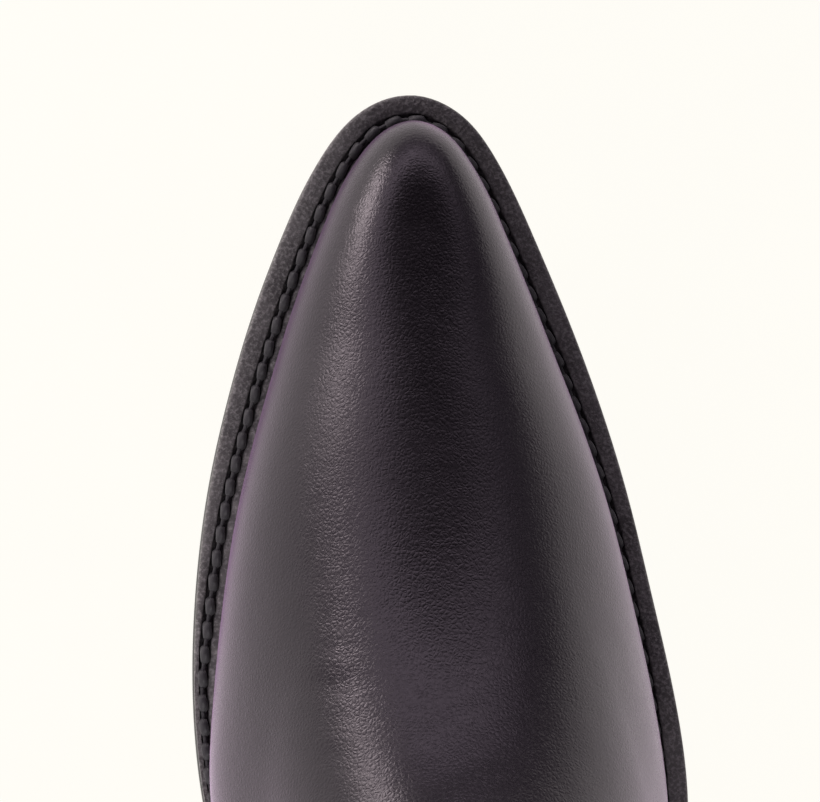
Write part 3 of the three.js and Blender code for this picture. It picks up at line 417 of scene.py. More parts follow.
# ---- material recipes
class Nodes:
    """Short names for building a node tree."""

    def __init__(self, tree, material=None):
        self.tree, self.material = tree, material

    def put(self, socket, value):
        if isinstance(value, bpy.types.NodeSocket):
            self.tree.links.new(value, socket)
        else:
            socket.default_value = (*value, 1) if socket.type == "RGBA" else value

    def make(self, kind, sockets=None, **settings):
        node = self.tree.nodes.new("ShaderNode" + kind)
        for key, value in settings.items():
            setattr(node, key, value)
        for key, value in (sockets or {}).items():
            self.put(node.inputs[key], value)
        return node

    def noise(self, where, scale, detail=3.0, rough=0.6, distort=0.0):
        return self.make("TexNoise", {"Vector": where, "Scale": scale, "Detail": detail,
                                      "Roughness": rough, "Distortion": distort}).outputs["Fac"]

    def cells(self, where, scale, feature="F1", output="Distance"):
        return self.make("TexVoronoi", {"Vector": where, "Scale": scale}, feature=feature).outputs[output]

    def waves(self, where, scale, distort, detail, direction):
        return self.make("TexWave", {"Vector": where, "Scale": scale, "Distortion": distort,
                                     "Detail": detail}, bands_direction=direction).outputs["Fac"]

    def stretch(self, where, *scale):
        return self.make("Mapping", {"Vector": where, "Scale": scale}).outputs[0]

    def remap(self, value, low, high, to_low=0.0, to_high=1.0):
        return self.make("MapRange", {"Value": value, "From Min": low, "From Max": high,
                                      "To Min": to_low, "To Max": to_high}).outputs[0]

    def math(self, operation, a, b=0.0):
        return self.make("Math", {0: a, 1: b}, operation=operation).outputs[0]

    def vector(self, operation, a, b, output="Vector"):
        return self.make("VectorMath", {0: a, 1: b}, operation=operation).outputs[output]

    def blend(self, factor, a, b):
        return self.make("Mix", {0: factor, 6: a, 7: b}, data_type="RGBA").outputs[2]

    def bumps(self, *layers):
        """Bumps laid over one another, each (height, strength, distance)."""
        normal = None
        for height, strength, distance in layers:
            sockets = {"Height": height, "Strength": strength, "Distance": distance}
            if normal is not None:
                sockets["Normal"] = normal
            normal = self.make("Bump", sockets).outputs[0]
        return normal

    def finish(self, **sockets):
        """Sets the shader's sockets and returns the material."""
        shader = self.tree.nodes["Principled BSDF"]
        for key, value in sockets.items():
            self.put(shader.inputs[key.replace("_", " ")], value)
        return self.material


def material(name):
    """A new material's nodes, and the object's own coordinates."""
    made = bpy.data.materials.new(name)
    made.use_nodes = True
    nodes = Nodes(made.node_tree, made)
    return nodes, nodes.make("TexCoord").outputs["Object"]


def shade(colour, share):
    return tuple(min(1, c * share) for c in colour)


def upper_leather(name, tone=1.0, grain=1.0, rough=0.285):
    """Smooth black calf: fine pebbled grain, pores, soft creases and a lilac satin sheen."""
    n, where = material(name)
    wander = n.make("TexNoise", {"Vector": where, "Scale": 260.0, "Detail": 2.0}).outputs["Color"]
    warped = n.vector("ADD", where, n.vector("MULTIPLY", wander, (0.0016, 0.0016, 0.0016)))
    pebble = n.remap(n.cells(warped, 1150.0, "DISTANCE_TO_EDGE"), 0.0, 0.32)
    fine = n.noise(where, 3200.0)
    pores = n.remap(n.cells(where, 620.0), 0.0, 0.12)
    crease = n.noise(n.stretch(where, 1.0, 2.6, 1.4), 42.0, 4.0, 0.55, 0.6)
    crease = n.remap(n.math("ABSOLUTE", n.math("SUBTRACT", crease, 0.5)), 0.0, 0.035)
    cloud = n.noise(where, 24.0)
    normal = n.bumps((cloud, 0.16, 0.0016), (crease, 0.05 * grain, 0.0003),
                     (pebble, 0.30 * grain, 0.00012), (fine, 0.22 * grain, 0.00007),
                     (pores, 0.25 * grain, 0.00010))
    dark = shade((0.0040, 0.0034, 0.0040), tone)
    colour = n.blend(n.remap(n.noise(where, 110.0), 0.35, 0.7), dark, shade((0.0085, 0.0072, 0.0084), tone))
    dip = n.math("MULTIPLY", n.remap(pebble, 0.0, 0.35, 1.0, 0.0), 0.5)
    roughness = n.remap(cloud, 0.3, 0.7, rough - 0.04, rough + 0.05)
    return n.finish(
        Base_Color=n.blend(dip, colour, shade(dark, 0.45)), Normal=normal, IOR=1.52,
        Roughness=n.math("ADD", roughness, n.remap(fine, 0.3, 0.7, -0.03, 0.05)),
        Specular_Tint=(1.0, 0.89, 1.0), Sheen_Weight=0.60, Sheen_Roughness=0.35,
        Sheen_Tint=(0.95, 0.60, 1.0))


def heel_leather(name, colour):
    """Burnished edge of stacked leather: fibres along the edge and faint layers."""
    n, where = material(name)
    fibre = n.noise(n.stretch(where, 1.0, 1.0, 9.0), 420.0, 4.0, 0.65)
    wear = n.noise(where, 55.0, 4.0)
    tint = n.blend(n.remap(fibre, 0.35, 0.7), colour, shade(colour, 1.5))
    return n.finish(
        Base_Color=n.blend(n.remap(wear, 0.58, 0.75, 0.0, 0.5), tint, shade(colour, 2.6)),
        Normal=n.bumps((fibre, 0.35, 0.00022), (n.noise(where, 900.0), 0.2, 0.0001),
                       (n.waves(where, 260.0, 1.5, 2.0, "Z"), 0.25, 0.0002)),
        Roughness=n.remap(wear, 0.3, 0.7, 0.30, 0.48))


def welt_leather(name):
    """Waxed welt strip: fibrous nap, a dull wax bloom, and painted shade that darkens its groove and other
    recesses.
    """
    n, where = material(name)
    nap = n.noise(where, 1500.0, 4.0, 0.65)
    cloud = n.noise(where, 70.0, 4.0)
    colour = n.blend(n.remap(cloud, 0.35, 0.68), (0.105, 0.098, 0.098), (0.200, 0.187, 0.188))
    colour = n.blend(n.remap(nap, 0.47, 0.62, 0.0, 0.8), colour, (0.36, 0.34, 0.34))
    # Painted shade: the ambient occlusion darkens the colour to near black in the groove and other recesses.
    painted_shade_ao = n.make("AmbientOcclusion", {"Distance": 0.0022}).outputs["AO"]
    return n.finish(
        Base_Color=n.blend(n.remap(painted_shade_ao, 0.25, 0.60), (0.010, 0.009, 0.010), colour),
        Normal=n.bumps((nap, 0.9, 0.00024), (n.cells(where, 900.0), 0.6, 0.00022)),
        Roughness=n.remap(cloud, 0.3, 0.7, 0.45, 0.62))


def thread_material(name, colour, scale, rough):
    """Twisted waxed thread."""
    n, where = material(name)
    fuzz = n.noise(where, 3800.0, 2.0)
    twist = n.waves(where, scale, 2.0, 1.0, "DIAGONAL")
    return n.finish(
        Base_Color=n.blend(fuzz, colour, shade(colour, 2.4)), Roughness=rough,
        Normal=n.bumps((twist, 0.5, 0.00012), (fuzz, 0.35, 0.00006)),
        Sheen_Weight=0.25, Sheen_Roughness=0.4)


def lining_leather(name, colour):
    """Undyed pigskin: hair pores and a soft nap."""
    n, where = material(name)
    pores = n.remap(n.cells(where, 420.0), 0.0, 0.16)
    tint = n.blend(n.remap(n.noise(where, 30.0, 4.0), 0.35, 0.65), colour, shade(colour, 0.72))
    return n.finish(
        Base_Color=n.blend(n.remap(pores, 0.0, 1.0, 0.55, 0.0), tint, shade(colour, 0.35)),
        Normal=n.bumps((pores, 0.5, 0.00016), (n.noise(where, 2200.0), 0.3, 0.00008)),
        Roughness=0.68, Sheen_Weight=0.2)


def sole_leather(name):
    """Outsole: dark dressed edge and a tan, lightly scuffed ground face."""
    n, where = material(name)
    facing = n.make("SeparateXYZ", {0: n.make("NewGeometry").outputs["Normal"]}).outputs[2]
    fibre = n.noise(n.stretch(where, 1.0, 1.0, 7.0), 420.0, 4.0, 0.65)
    scuff = n.noise(n.stretch(where, 1.6, 0.35, 1.0), 190.0, 5.0, 0.7, 0.4)
    cloud = n.noise(where, 22.0, 4.0)
    edge = n.blend(n.remap(fibre, 0.35, 0.7), (0.020, 0.017, 0.017), (0.040, 0.036, 0.036))
    tan = n.blend(n.remap(cloud, 0.35, 0.65), (0.235, 0.135, 0.07), (0.155, 0.085, 0.042))
    tan = n.blend(n.remap(scuff, 0.55, 0.7, 0.0, 0.6), tan, (0.075, 0.05, 0.034))
    return n.finish(
        Base_Color=n.blend(n.remap(facing, -0.75, -0.9), edge, tan),
        Normal=n.bumps((fibre, 0.3, 0.0002), (scuff, 0.2, 0.0002),
                       (n.noise(where, 1800.0), 0.25, 0.00008)),
        Roughness=n.remap(cloud, 0.3, 0.7, 0.38, 0.52))


def rubber_material(name):
    """Moulded rubber heel tip with a stippled, dusty face."""
    n, where = material(name)
    dust = n.noise(where, 60.0, 5.0, 0.65)
    return n.finish(
        Base_Color=n.blend(n.remap(dust, 0.45, 0.75), (0.012, 0.012, 0.013), (0.05, 0.047, 0.045)),
        Roughness=n.remap(dust, 0.3, 0.7, 0.7, 0.88),
        Normal=n.bumps((n.cells(where, 900.0), 0.45, 0.0002)))


def metal_material(name, colour, rough):
    """Drawn or rolled metal: fine scratches and stains."""
    n, where = material(name)
    lines = n.noise(n.stretch(where, 1.0, 6.0, 1.0), 240.0, 4.0, 0.7)
    stain = n.remap(n.noise(where, 300.0, 4.0), 0.45, 0.7, 0.0, 0.7)
    return n.finish(
        Base_Color=n.blend(stain, colour, shade(colour, 0.45)), Metallic=1.0,
        Normal=n.bumps((lines, 0.2, 0.0001)), Roughness=n.remap(lines, 0.3, 0.7, rough - 0.08, rough + 0.14))


def board_material(name, colour, scale=500.0):
    """Fibre board, cork or wood: speckled and matt."""
    n, where = material(name)
    speck = n.make("SeparateColor", {0: n.cells(where, scale, output="Color")}).outputs[0]
    return n.finish(
        Base_Color=n.blend(speck, shade(colour, 0.6), shade(colour, 1.2)), Roughness=0.85,
        Normal=n.bumps((n.noise(where, 1600.0), 0.4, 0.0001)))


LEATHER = upper_leather("upper_leather_mat", grain=0.75)
STRAP_LEATHER = upper_leather("strap_leather_mat", 1.1, 0.9, 0.40)
WELT_LEATHER = welt_leather("welt_mat")
WELT_THREAD = thread_material("welt_thread_mat", (0.048, 0.046, 0.049), 2200.0, 0.42)
FINE_THREAD = thread_material("fine_thread_mat", (0.060, 0.056, 0.060), 4200.0, 0.45)
LINING_MAT = lining_leather("lining_mat", (0.30, 0.215, 0.145))
SOCK_MAT = lining_leather("sock_mat", (0.36, 0.27, 0.19))
SOLE_MAT = sole_leather("sole_mat")
HEEL_MAT = heel_leather("heel_stack_mat", (0.016, 0.013, 0.012))
RUBBER_MAT = rubber_material("rubber_mat")
BRASS_MAT = metal_material("brass_mat", (0.62, 0.44, 0.17), 0.34)
STEEL_MAT = metal_material("steel_mat", (0.52, 0.52, 0.53), 0.32)
BOARD_MAT = board_material("stiffener_mat", (0.42, 0.32, 0.22))
CORK_MAT = board_material("cork_mat", (0.36, 0.22, 0.12), 700.0)
PEG_MAT = board_material("peg_mat", (0.62, 0.47, 0.27), 900.0)


def take(obj, body, slot_name, *nodes):
    """The piece rides on its body and stands for its solids."""
    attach(obj, body)
    if nodes:
        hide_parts(*nodes)
    return obj


# ---- leather panels
VAMP_SEAM = 266
vamp_edge = curve([(0, 240), (14, 232), (32, 222), (52, 225), (72, 245), (90, VAMP_SEAM)])
counter_edge = curve([(0, 296), (16, 290), (36, 275), (60, 265), (90, 262)])
FLAT_TOP = 66
PIPING_CLEARANCE = PIPING_RADIUS + GAP
SEAM_GAP = 0.5
BUTT_GAP = 0.8
OVERLAP = 12


def scallop(degrees):
    return 0.5 + 0.5 * np.cos(np.pi * np.clip(np.asarray(degrees, float) / FLAT_TOP, 0, 1))


def front_top(degrees):
    return RING_TOP - FRONT_DIP * scallop(degrees)


def rear_top(degrees):
    return RING_TOP - BACK_DIP * scallop(degrees)


def creases(points):
    """Depth of the folds that wear leaves: fine ones over the ball, soft ones round the ankle."""
    x, along, z = points[..., 0], -points[..., 1], points[..., 2]
    ball = np.exp(-((along - 124) / 17) ** 2) * smoothstep(12, 30, z)
    slant = along + 0.30 * np.abs(x + 4) + 3.0 * np.sin(x * 0.07 + 1)
    broken = (0.55 + 0.45 * np.sin(x * 0.19 + 0.11 * along)) * (0.6 + 0.4 * np.sin(x * 0.071 + 2))
    folds = 0.10 * ball * broken * (np.sin(slant * 0.47) + 0.7 * np.sin(slant * 0.93 + 0.13 * x))
    ankle = np.exp(-((z - 128) / 26) ** 2) * smoothstep(80, 105, z)
    roll = z + 0.10 * x + 4.5 * np.sin(along * 0.045 + x * 0.02)
    folds += 1.0 * ankle * np.sin(roll * 0.24 + 0.5 * np.sin(x * 0.08)) * (0.6 + 0.4 * np.sin(x * 0.05))
    shaft = smoothstep(140, 180, z) * (1 - smoothstep(290, 322, z))
    folds += 0.35 * shaft * np.sin(z * 0.062 + along * 0.035) * np.sin(x * 0.06 + along * 0.05 + 1.3)
    return folds


def layer_points(surface, u, angle, offset):
    """Points some millimetres out from the surface, with the folds."""
    points = surface(u, angle)
    depth = offset + np.minimum(creases(points), 0.12)[..., None] * 0.9 - 0.1
    return points + normals(surface, u, angle) * depth


def sheet_grid(surface, bottom, top, columns, shares, clearance):
    """u and angle of a panel's grid. shares runs from 0 at the bottom edge to 1 at the top."""
    degrees = np.linspace(-90, 90, columns)
    low, high = bottom(np.abs(degrees)), top(np.abs(degrees))
    u = low + (high - low) * shares[:, None]
    angle = np.radians(degrees)[None, :].repeat(len(shares), 0)
    for j, side in ((0, -1), (-1, 1)):
        near = near_seam(surface, np.maximum(u[:, j], CORNER_U), side, clearance)
        angle[:, j] = np.where(u[:, j] >= CORNER_U - 1e-6, near, side * QUARTER)
    return u, angle


def rounded(pile, surface, u, angle, layer, flip, closed_start):
    """A panel with its top edge turned over in a half round."""
    inner, outer = (layer_points(surface, u, angle, offset) for offset in layer)
    half = (layer[1] - layer[0]) / 2
    middle, across = (outer[-1] + inner[-1]) / 2, (outer[-1] - inner[-1]) / 2
    ahead = unit(outer[-1] - outer[-2])
    lip = [middle + across * math.cos(a) + ahead * half * 0.8 * math.sin(a)
           for a in np.radians((30, 60, 90, 120, 150))]
    loops = [*outer, *lip, *inner[::-1]]
    if not closed_start:
        loops.append(outer[0])
    pile.grid(np.array(loops), flip=flip)
    for j in (0, -1):
        wall = np.stack([outer[:, j], inner[:, j]], 1)
        pile.grid(wall, flip=(j == 0) != flip)


def panel(name, surface, bottom, top, layer, node, slot_name, mat, columns, shares,
          clearance=SEAM_GAP, pole=False):
    u, angle = sheet_grid(surface, bottom, lambda d: top(d) - 0.6, columns, shares, clearance)
    pile = Pile()
    rounded(pile, surface, u, angle, layer, surface is rear, pole)
    pile.piece(name, [mat], slot_name, node)


def constant(value):
    return lambda degrees: np.full(np.shape(degrees), float(value))


def vamp_shares(foot_rows, shaft_rows):
    """Rows of a panel from the toe to the vamp's edge, closer at the toe."""
    corner = CORNER_U / (VAMP_SEAM - 0.6)
    return np.concatenate([np.linspace(0, 1, foot_rows) ** 1.25 * corner,
                           np.linspace(corner, 1, shaft_rows)[1:]])


def make_uppers():
    vamp_foot, shaft_foot = constant(0), constant(CORNER_U)
    leather, lining = ("upper_leather", LEATHER, 121), ("lining_leather", LINING_MAT, 61)
    panel("vamp_leather", front, vamp_foot, vamp_edge, UPPER_LAYER, "vamp", *leather,
          vamp_shares(150, 22), clearance=PIPING_CLEARANCE, pole=True)
    panel("vamp_lining_skin", front, vamp_foot, lambda d: vamp_edge(d) - BUTT_GAP, LINING_LAYER,
          "vamp_lining", *lining, vamp_shares(60, 14), pole=True)
    panel("shaft_front_panel", front, lambda d: vamp_edge(d) - OVERLAP, front_top, PANEL_LAYER,
          "shaft_front", *leather, np.linspace(0, 1, 150))
    panel("shaft_back_panel", rear, lambda d: counter_edge(d) - OVERLAP, rear_top, PANEL_LAYER,
          "shaft_back", *leather, np.linspace(0, 1, 150))
    panel("shaft_lining_front_skin", front, vamp_edge, front_top, LINING_LAYER,
          "shaft_lining_front", *lining, np.linspace(0, 1, 70))
    panel("shaft_lining_back_skin", rear, shaft_foot, rear_top, LINING_LAYER,
          "shaft_lining_back", *lining, np.linspace(0, 1, 90))
    panel("counter_cover_leather", rear, shaft_foot, counter_edge, UPPER_LAYER,
          "counter_cover", *leather, np.linspace(0, 1, 60), clearance=PIPING_CLEARANCE)


# ---- tubes, stitches
def resample(points, count, *others):
    """count points evenly spaced along a polyline, and the same for values that go with it."""
    points = np.asarray(points, float)
    length = np.concatenate([[0], np.cumsum(np.linalg.norm(np.diff(points, axis=0), axis=1))])
    at = np.linspace(0, length[-1], count)
    def pick(values):
        return np.stack([np.interp(at, length, values[:, k]) for k in range(values.shape[1])], 1)
    return [pick(np.asarray(v, float)) for v in (points, *others)]


def path_length(points):
    return float(np.linalg.norm(np.diff(points, axis=0), axis=1).sum())


def stitch_shape(length, width, height, sides=8, rings=7):
    """One stitch along +x, lying on z = 0 with its ends tucked under: (points, quads)."""
    s = np.linspace(-1, 1, rings)
    fat = np.sqrt(np.clip(1 - s**4, 0, 1)) * 0.95 + 0.05
    a = np.linspace(0, 2 * np.pi, sides, endpoint=False)
    x = s[:, None] * length / 2 + 0 * a
    y = fat[:, None] * np.cos(a) * width / 2
    z = fat[:, None] * np.sin(a) * height / 2 - (np.abs(s)[:, None] ** 2.5) * height * 0.62
    points = np.stack([x, y, z], -1).reshape(-1, 3)
    index = np.arange(rings * sides).reshape(rings, sides)
    index = np.concatenate([index, index[:, :1]], 1)
    quads = np.stack([index[:-1, :-1], index[:-1, 1:], index[1:, 1:], index[1:, :-1]], -1).reshape(-1, 4)
    return points, quads


def add_stitches(pile, points, out, pitch=3.0, length=2.3, width=0.55, height=0.5, lift=0.1,
                 skew=0.0, slot=0):
    """Stitches along a path; out holds the leather's outward normals there."""
    count = max(2, int(round(path_length(points) / pitch)) + 1)
    p, n = resample(points, count, out)
    n = unit(n)
    t = unit(np.gradient(p, axis=0))
    side = unit(np.cross(n, t))
    t = unit(t * math.cos(skew) + side * math.sin(skew))
    side = np.cross(n, t)
    shape, quads = stitch_shape(length, width, height)
    verts = (p[:, None] + t[:, None] * shape[:, :1] + side[:, None] * shape[:, 1:2]
             + n[:, None] * (shape[:, 2:] + lift))
    faces = quads[None] + (np.arange(count) * len(shape))[:, None, None]
    pile.add(verts.reshape(-1, 3), faces.reshape(-1, 4), slot)


def tube(pile, points, out, radius, sides):
    t = unit(np.gradient(points, axis=0))
    side = unit(np.cross(t, out))
    out = np.cross(side, t)
    a = np.linspace(0, 2 * np.pi, sides, endpoint=False)
    ring = (points[:, None] + out[:, None] * np.cos(a)[:, None] * radius
            + side[:, None] * np.sin(a)[:, None] * radius)
    pile.grid(ring, wrap=(False, True))


# ---- the bottom's outline
HEEL_BACK = CORNER_U + 90


def outline(t):
    """Feather line; t runs from 0 at the toe to HEEL_BACK at the heel, positive on the outer side."""
    t = np.asarray(t, float)
    side = np.where(t < 0, -1, 1)
    foot = feather(np.clip(t, -CORNER_U, CORNER_U)) * (1, -1)
    heel = rear(np.full(t.shape, float(CORNER_U)), side * np.radians(HEEL_BACK - np.abs(t)))[..., :2]
    return np.where((np.abs(t) <= CORNER_U)[..., None], foot, heel)


def side_of(curve, t):
    both = curve(-outline(t)[..., 1])
    return np.where(np.asarray(t) < 0, both[..., 0], both[..., 1])


def extension(t):
    return side_of(extension_curve, t)


def outward(t):
    """Unit vectors square to the outline, eased over the corner of the side seam."""
    ahead = outline(t + 0.8) - outline(t - 0.8)
    return unit(np.stack([-ahead[..., 1], ahead[..., 0]], -1))


def rim(t, out, height):
    """Points some way outward from the outline, some height above the outsole's top face."""
    p = outline(t) + outward(t) * np.asarray(out, float)[..., None]
    return np.concatenate([p, (sole_top(-p[..., 1]) + height)[..., None]], -1)


def welt_inset(t):
    return -mix(5.6, 8, smoothstep(0, 30, np.abs(t)))


def stitch_line(t):
    return np.minimum(side_of(bulge_curve, t) + STITCH_FROM_UPPER, extension(t) - STITCH_FROM_EDGE)


def dense(start, end, step=1.0):
    return np.linspace(start, end, max(2, int(abs(end - start) / step) + 1))


def section_sweep(pile, t, section):
    """section: list of (outward array, height) corners; the ring is closed, ends are filled."""
    ring = np.stack([rim(t, out, height) for out, height in section], 1)
    pile.grid(ring, wrap=(False, True))
    pile.fan(ring[0], 1)
    pile.fan(ring[-1], -1)


def rounded_box(inner, outer, low, high, radius):
    """Corners of a strip's section with its two outer edges rounded."""
    section = [(inner, low)]
    for end, way in ((low + radius, -1), (high - radius, 1)):
        for k in np.linspace(0, QUARTER, 5)[::way]:
            section.append((outer - radius + radius * math.cos(k), end + way * radius * math.sin(k)))
    section.append((inner, high))
    return section


def make_welt():
    t = dense(-WELT_END, WELT_END, 0.9)
    ext, seam, inset = extension(t), stitch_line(t), welt_inset(t)
    waver = 0.10 * np.sin(t * 0.9) + 0.07 * np.sin(t * 2.3 + 1)
    section = rounded_box(inset, ext, GAP, WELT_TOP, WELT_CORNER)[:-1]
    radius = 0.3
    outer_lip, inner_lip = seam + GROOVE_HALF + waver * 0.4, seam - GROOVE_HALF
    section += [
        (outer_lip + radius, WELT_TOP + 0.02), (outer_lip + radius * 0.3, WELT_TOP - 0.07),
        (outer_lip, WELT_TOP - radius), (outer_lip - 0.15, WELT_TOP - GROOVE_DEPTH + 0.15),
        (outer_lip - 0.45, WELT_TOP - GROOVE_DEPTH), (inner_lip + 0.4, WELT_TOP - GROOVE_DEPTH),
        (inner_lip, WELT_TOP - radius), (inner_lip - radius, WELT_TOP), (inset, WELT_TOP),
    ]
    pile = Pile()
    section_sweep(pile, t, section)
    pile.piece("welt_strip", [WELT_LEATHER], "sole_leather", "welt", smooth_angle=50)

    line = dense(6 - WELT_END, WELT_END - 6, 0.5)
    centre = rim(line, stitch_line(line), WELT_TOP - GROOVE_DEPTH + GAP + 0.28)
    up = np.tile((0.0, 0.0, 1.0), (len(line), 1))
    thread = Pile()
    tube(thread, centre, up, 0.42, 8)
    add_stitches(thread, centre, up, pitch=STITCH_PITCH, length=STITCH_PITCH * 0.90, width=1.9,
                 height=1.5, lift=0.45, skew=0.16)
    thread.piece("welt_stitches", [WELT_THREAD], "thread", "welt_thread")


def make_rand():
    t = dense(WELT_END + GAP, HEEL_BACK - 0.01)
    halves = [
        np.stack([rim(s, out, height) for out, height
                  in rounded_box(welt_inset(s), extension(s), GAP, WELT_TOP, RAND_CORNER)], 1)
        for s in (t, -t[::-1])]
    pile = Pile()
    pile.grid(np.concatenate(halves), wrap=(False, True))
    pile.piece("heel_rand_strip", [WELT_LEATHER], "sole_leather", "heel_rand", smooth_angle=50)


def make_outsole():
    """The outsole's faces run across the foot; its edge is a slightly crowned, rounded band."""
    t = np.concatenate([[0, 0.6, 1.4, 2.4, 3.6], dense(5, CORNER_U, 1.5),
                        dense(CORNER_U + 1, HEEL_BACK, 1.5)])
    right = extension(t)
    left = np.where((t == 0) | (t == HEEL_BACK), right, extension(-t))
    edge = [(-0.55, 0.0), (-0.16, -0.16), (0.0, -0.5), (0.05, -2.2), (0.0, -3.9), (-0.2, -4.3),
            (-0.6, -OUTSOLE)]
    sides = [[rim(s, reach + out, height) for out, height in edge]
             for s, reach in ((-t, left), (t, right))]
    shares = np.linspace(0, 1, 15)[:, None]
    pile = Pile()
    for row, height in ((0, 0.0), (-1, -OUTSOLE)):
        flat = sides[0][row][:, None] * (1 - shares) + sides[1][row][:, None] * shares
        flat[..., 2] = sole_top(-flat[..., 1]) + height
        pile.grid(flat, flip=row != 0)
    for rows, flip in zip(sides, (False, True)):
        pile.grid(np.stack(rows, 1), flip=flip)
    pile.piece("outsole_leather", [SOLE_MAT], "sole_leather", "outsole", smooth_angle=60)

    # The seam sunk in the ground face, and two rows of wooden pegs in the waist.
    face = -OUTSOLE - 0.02
    line = dense(-WELT_END + 14, WELT_END - 14, 1.0)
    seam = rim(line, extension(line) - SOLE_SEAM_INSET, face)
    down = np.tile((0.0, 0.0, -1.0), (len(line), 1))
    marks = Pile()
    add_stitches(marks, seam, down, pitch=4.2, length=2.9, width=0.75, height=0.34, lift=-0.02)
    marks.piece("outsole_seam", [FINE_THREAD], "thread")
    pegs = Pile()
    a = np.linspace(0, 2 * np.pi, 10, endpoint=False)
    disc = np.stack([np.cos(a), np.sin(a), 0 * a], -1)
    for row_in in PEG_ROWS:
        for side in (-1, 1):
            spots = side * dense(PEG_WAIST[0] + row_in, PEG_WAIST[1], PEG_PITCH)
            for p in rim(spots, extension(spots) - row_in, face):
                rings = [p + disc * r + (0, 0, z) for r, z in PEG_PROFILE]
                pegs.grid(np.array(rings), wrap=(False, True))
    pegs.piece("waist_pegs", [PEG_MAT], "sole_leather")


# ---- heel
HEEL_TOP = SEAT - OUTSOLE


def breast_t(side):
    low, high = float(CORNER_U), float(HEEL_BACK)
    for _ in range(30):
        middle = (low + high) / 2
        if -rim(np.array([side * middle]), extension(np.array([side * middle])), 0)[0, 1] < HEEL_BREAST:
            low = middle
        else:
            high = middle
    return low


def heel_outline():
    inner, outer = dense(-breast_t(-1), -HEEL_BACK, 1.2), dense(HEEL_BACK, breast_t(1), 1.2)[1:]
    t = np.concatenate([inner, outer])
    side = rim(t, extension(t), 0)[:, :2]
    breast = np.linspace(side[-1], side[0], 26)[1:-1]
    x = (breast[:, 0] - CENTRE_X) / BREAST_HALF
    breast[:, 1] -= BREAST_HOLLOW * np.clip(1 - x * x, 0, 1)
    return np.concatenate([side, breast])


HEEL_OUTLINE = heel_outline()
HEEL_LENGTH = float(-HEEL_OUTLINE[:, 1].min()) - HEEL_BREAST


def heel_ring(z, inset=0.0):
    z = float(z)
    low = 1 - z / HEEL_TOP
    x = CENTRE_X + (HEEL_OUTLINE[:, 0] - CENTRE_X) * (1 - HEEL_TAPER * low)
    behind = (-HEEL_OUTLINE[:, 1] - HEEL_BREAST) * (1 - HEEL_UNDERCUT * low / HEEL_LENGTH)
    points = np.stack([x, -HEEL_BREAST - behind, np.full(len(x), z)], -1)
    centre = np.array([CENTRE_X, -HEEL_BREAST - HEEL_LENGTH * 0.45, z])
    return points + unit(centre - points) * inset


def heel_block(name, bottom, top, node, bevel, top_height=None):
    """A lift: rounded upper and lower edges, faces filled in rings towards the middle."""
    profile = [(bottom, 4.0), (bottom, bevel), (bottom + bevel * 0.3, bevel * 0.3), (bottom + bevel, 0.0),
               ((bottom + top) / 2, -0.05), (top - bevel, 0.0), (top - bevel * 0.3, bevel * 0.3),
               (top, bevel), (top, 4.0)]
    rings = [heel_ring(z, inset) for z, inset in profile]
    rings[0][:, 2], rings[-1][:, 2] = bottom, top
    rings.insert(0, heel_ring(bottom, 22.0))
    rings.append(heel_ring(top, 22.0))
    rings = np.array(rings)
    if top_height is not None:
        blend = np.clip((rings[..., 2:3] - bottom) / (top - bottom), 0, 1)
        rings[..., 2:3] = bottom + (top_height(rings) - bottom) * blend
    pile = Pile()
    pile.grid(rings, wrap=(False, True))
    pile.fan(rings[0], -1)
    pile.fan(rings[-1], 1)
    pile.piece(name, [HEEL_MAT], "heel_stack", node, smooth_angle=55)


def make_heel():
    wedge_bottom = float(sole_top(HEEL_BREAST)) - OUTSOLE - GAP - HEEL_WEDGE_FRONT
    heel_block("heel_wedge_lift", wedge_bottom, HEEL_TOP - 0.4, "heel_wedge", 0.3,
               lambda p: (sole_top(-p[..., 1]) - OUTSOLE - 0.05)[..., None])
    low = TOP_LIFT + GAP
    pitch = (wedge_bottom - low) / HEEL_LIFTS
    for i in range(HEEL_LIFTS):
        heel_block(f"heel_lift_{i + 1}_leather", low + i * pitch - 0.12, low + (i + 1) * pitch - 0.16,
                   f"heel_lift_{i + 1}", 0.22)
    for i in range(1, 8):
        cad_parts[f"heel_nail_{i}"].data.materials[0] = BRASS_MAT


# ---- top line and side seams
def top_edge():
    """Middle of the wall's top edge all the way round, with the wall's outward normals."""
    degrees = np.linspace(-90, 90, 91)
    points, out = [], []
    for surface, top, order in ((front, front_top, degrees[1:-1]), (rear, rear_top, degrees[-2:0:-1])):
        u, a = top(np.abs(order)), np.radians(order)
        n = normals(surface, u, a)
        points.append(surface(u, a) + n * WALL_MIDDLE)
        out.append(n)
    return np.concatenate(points), np.concatenate(out)


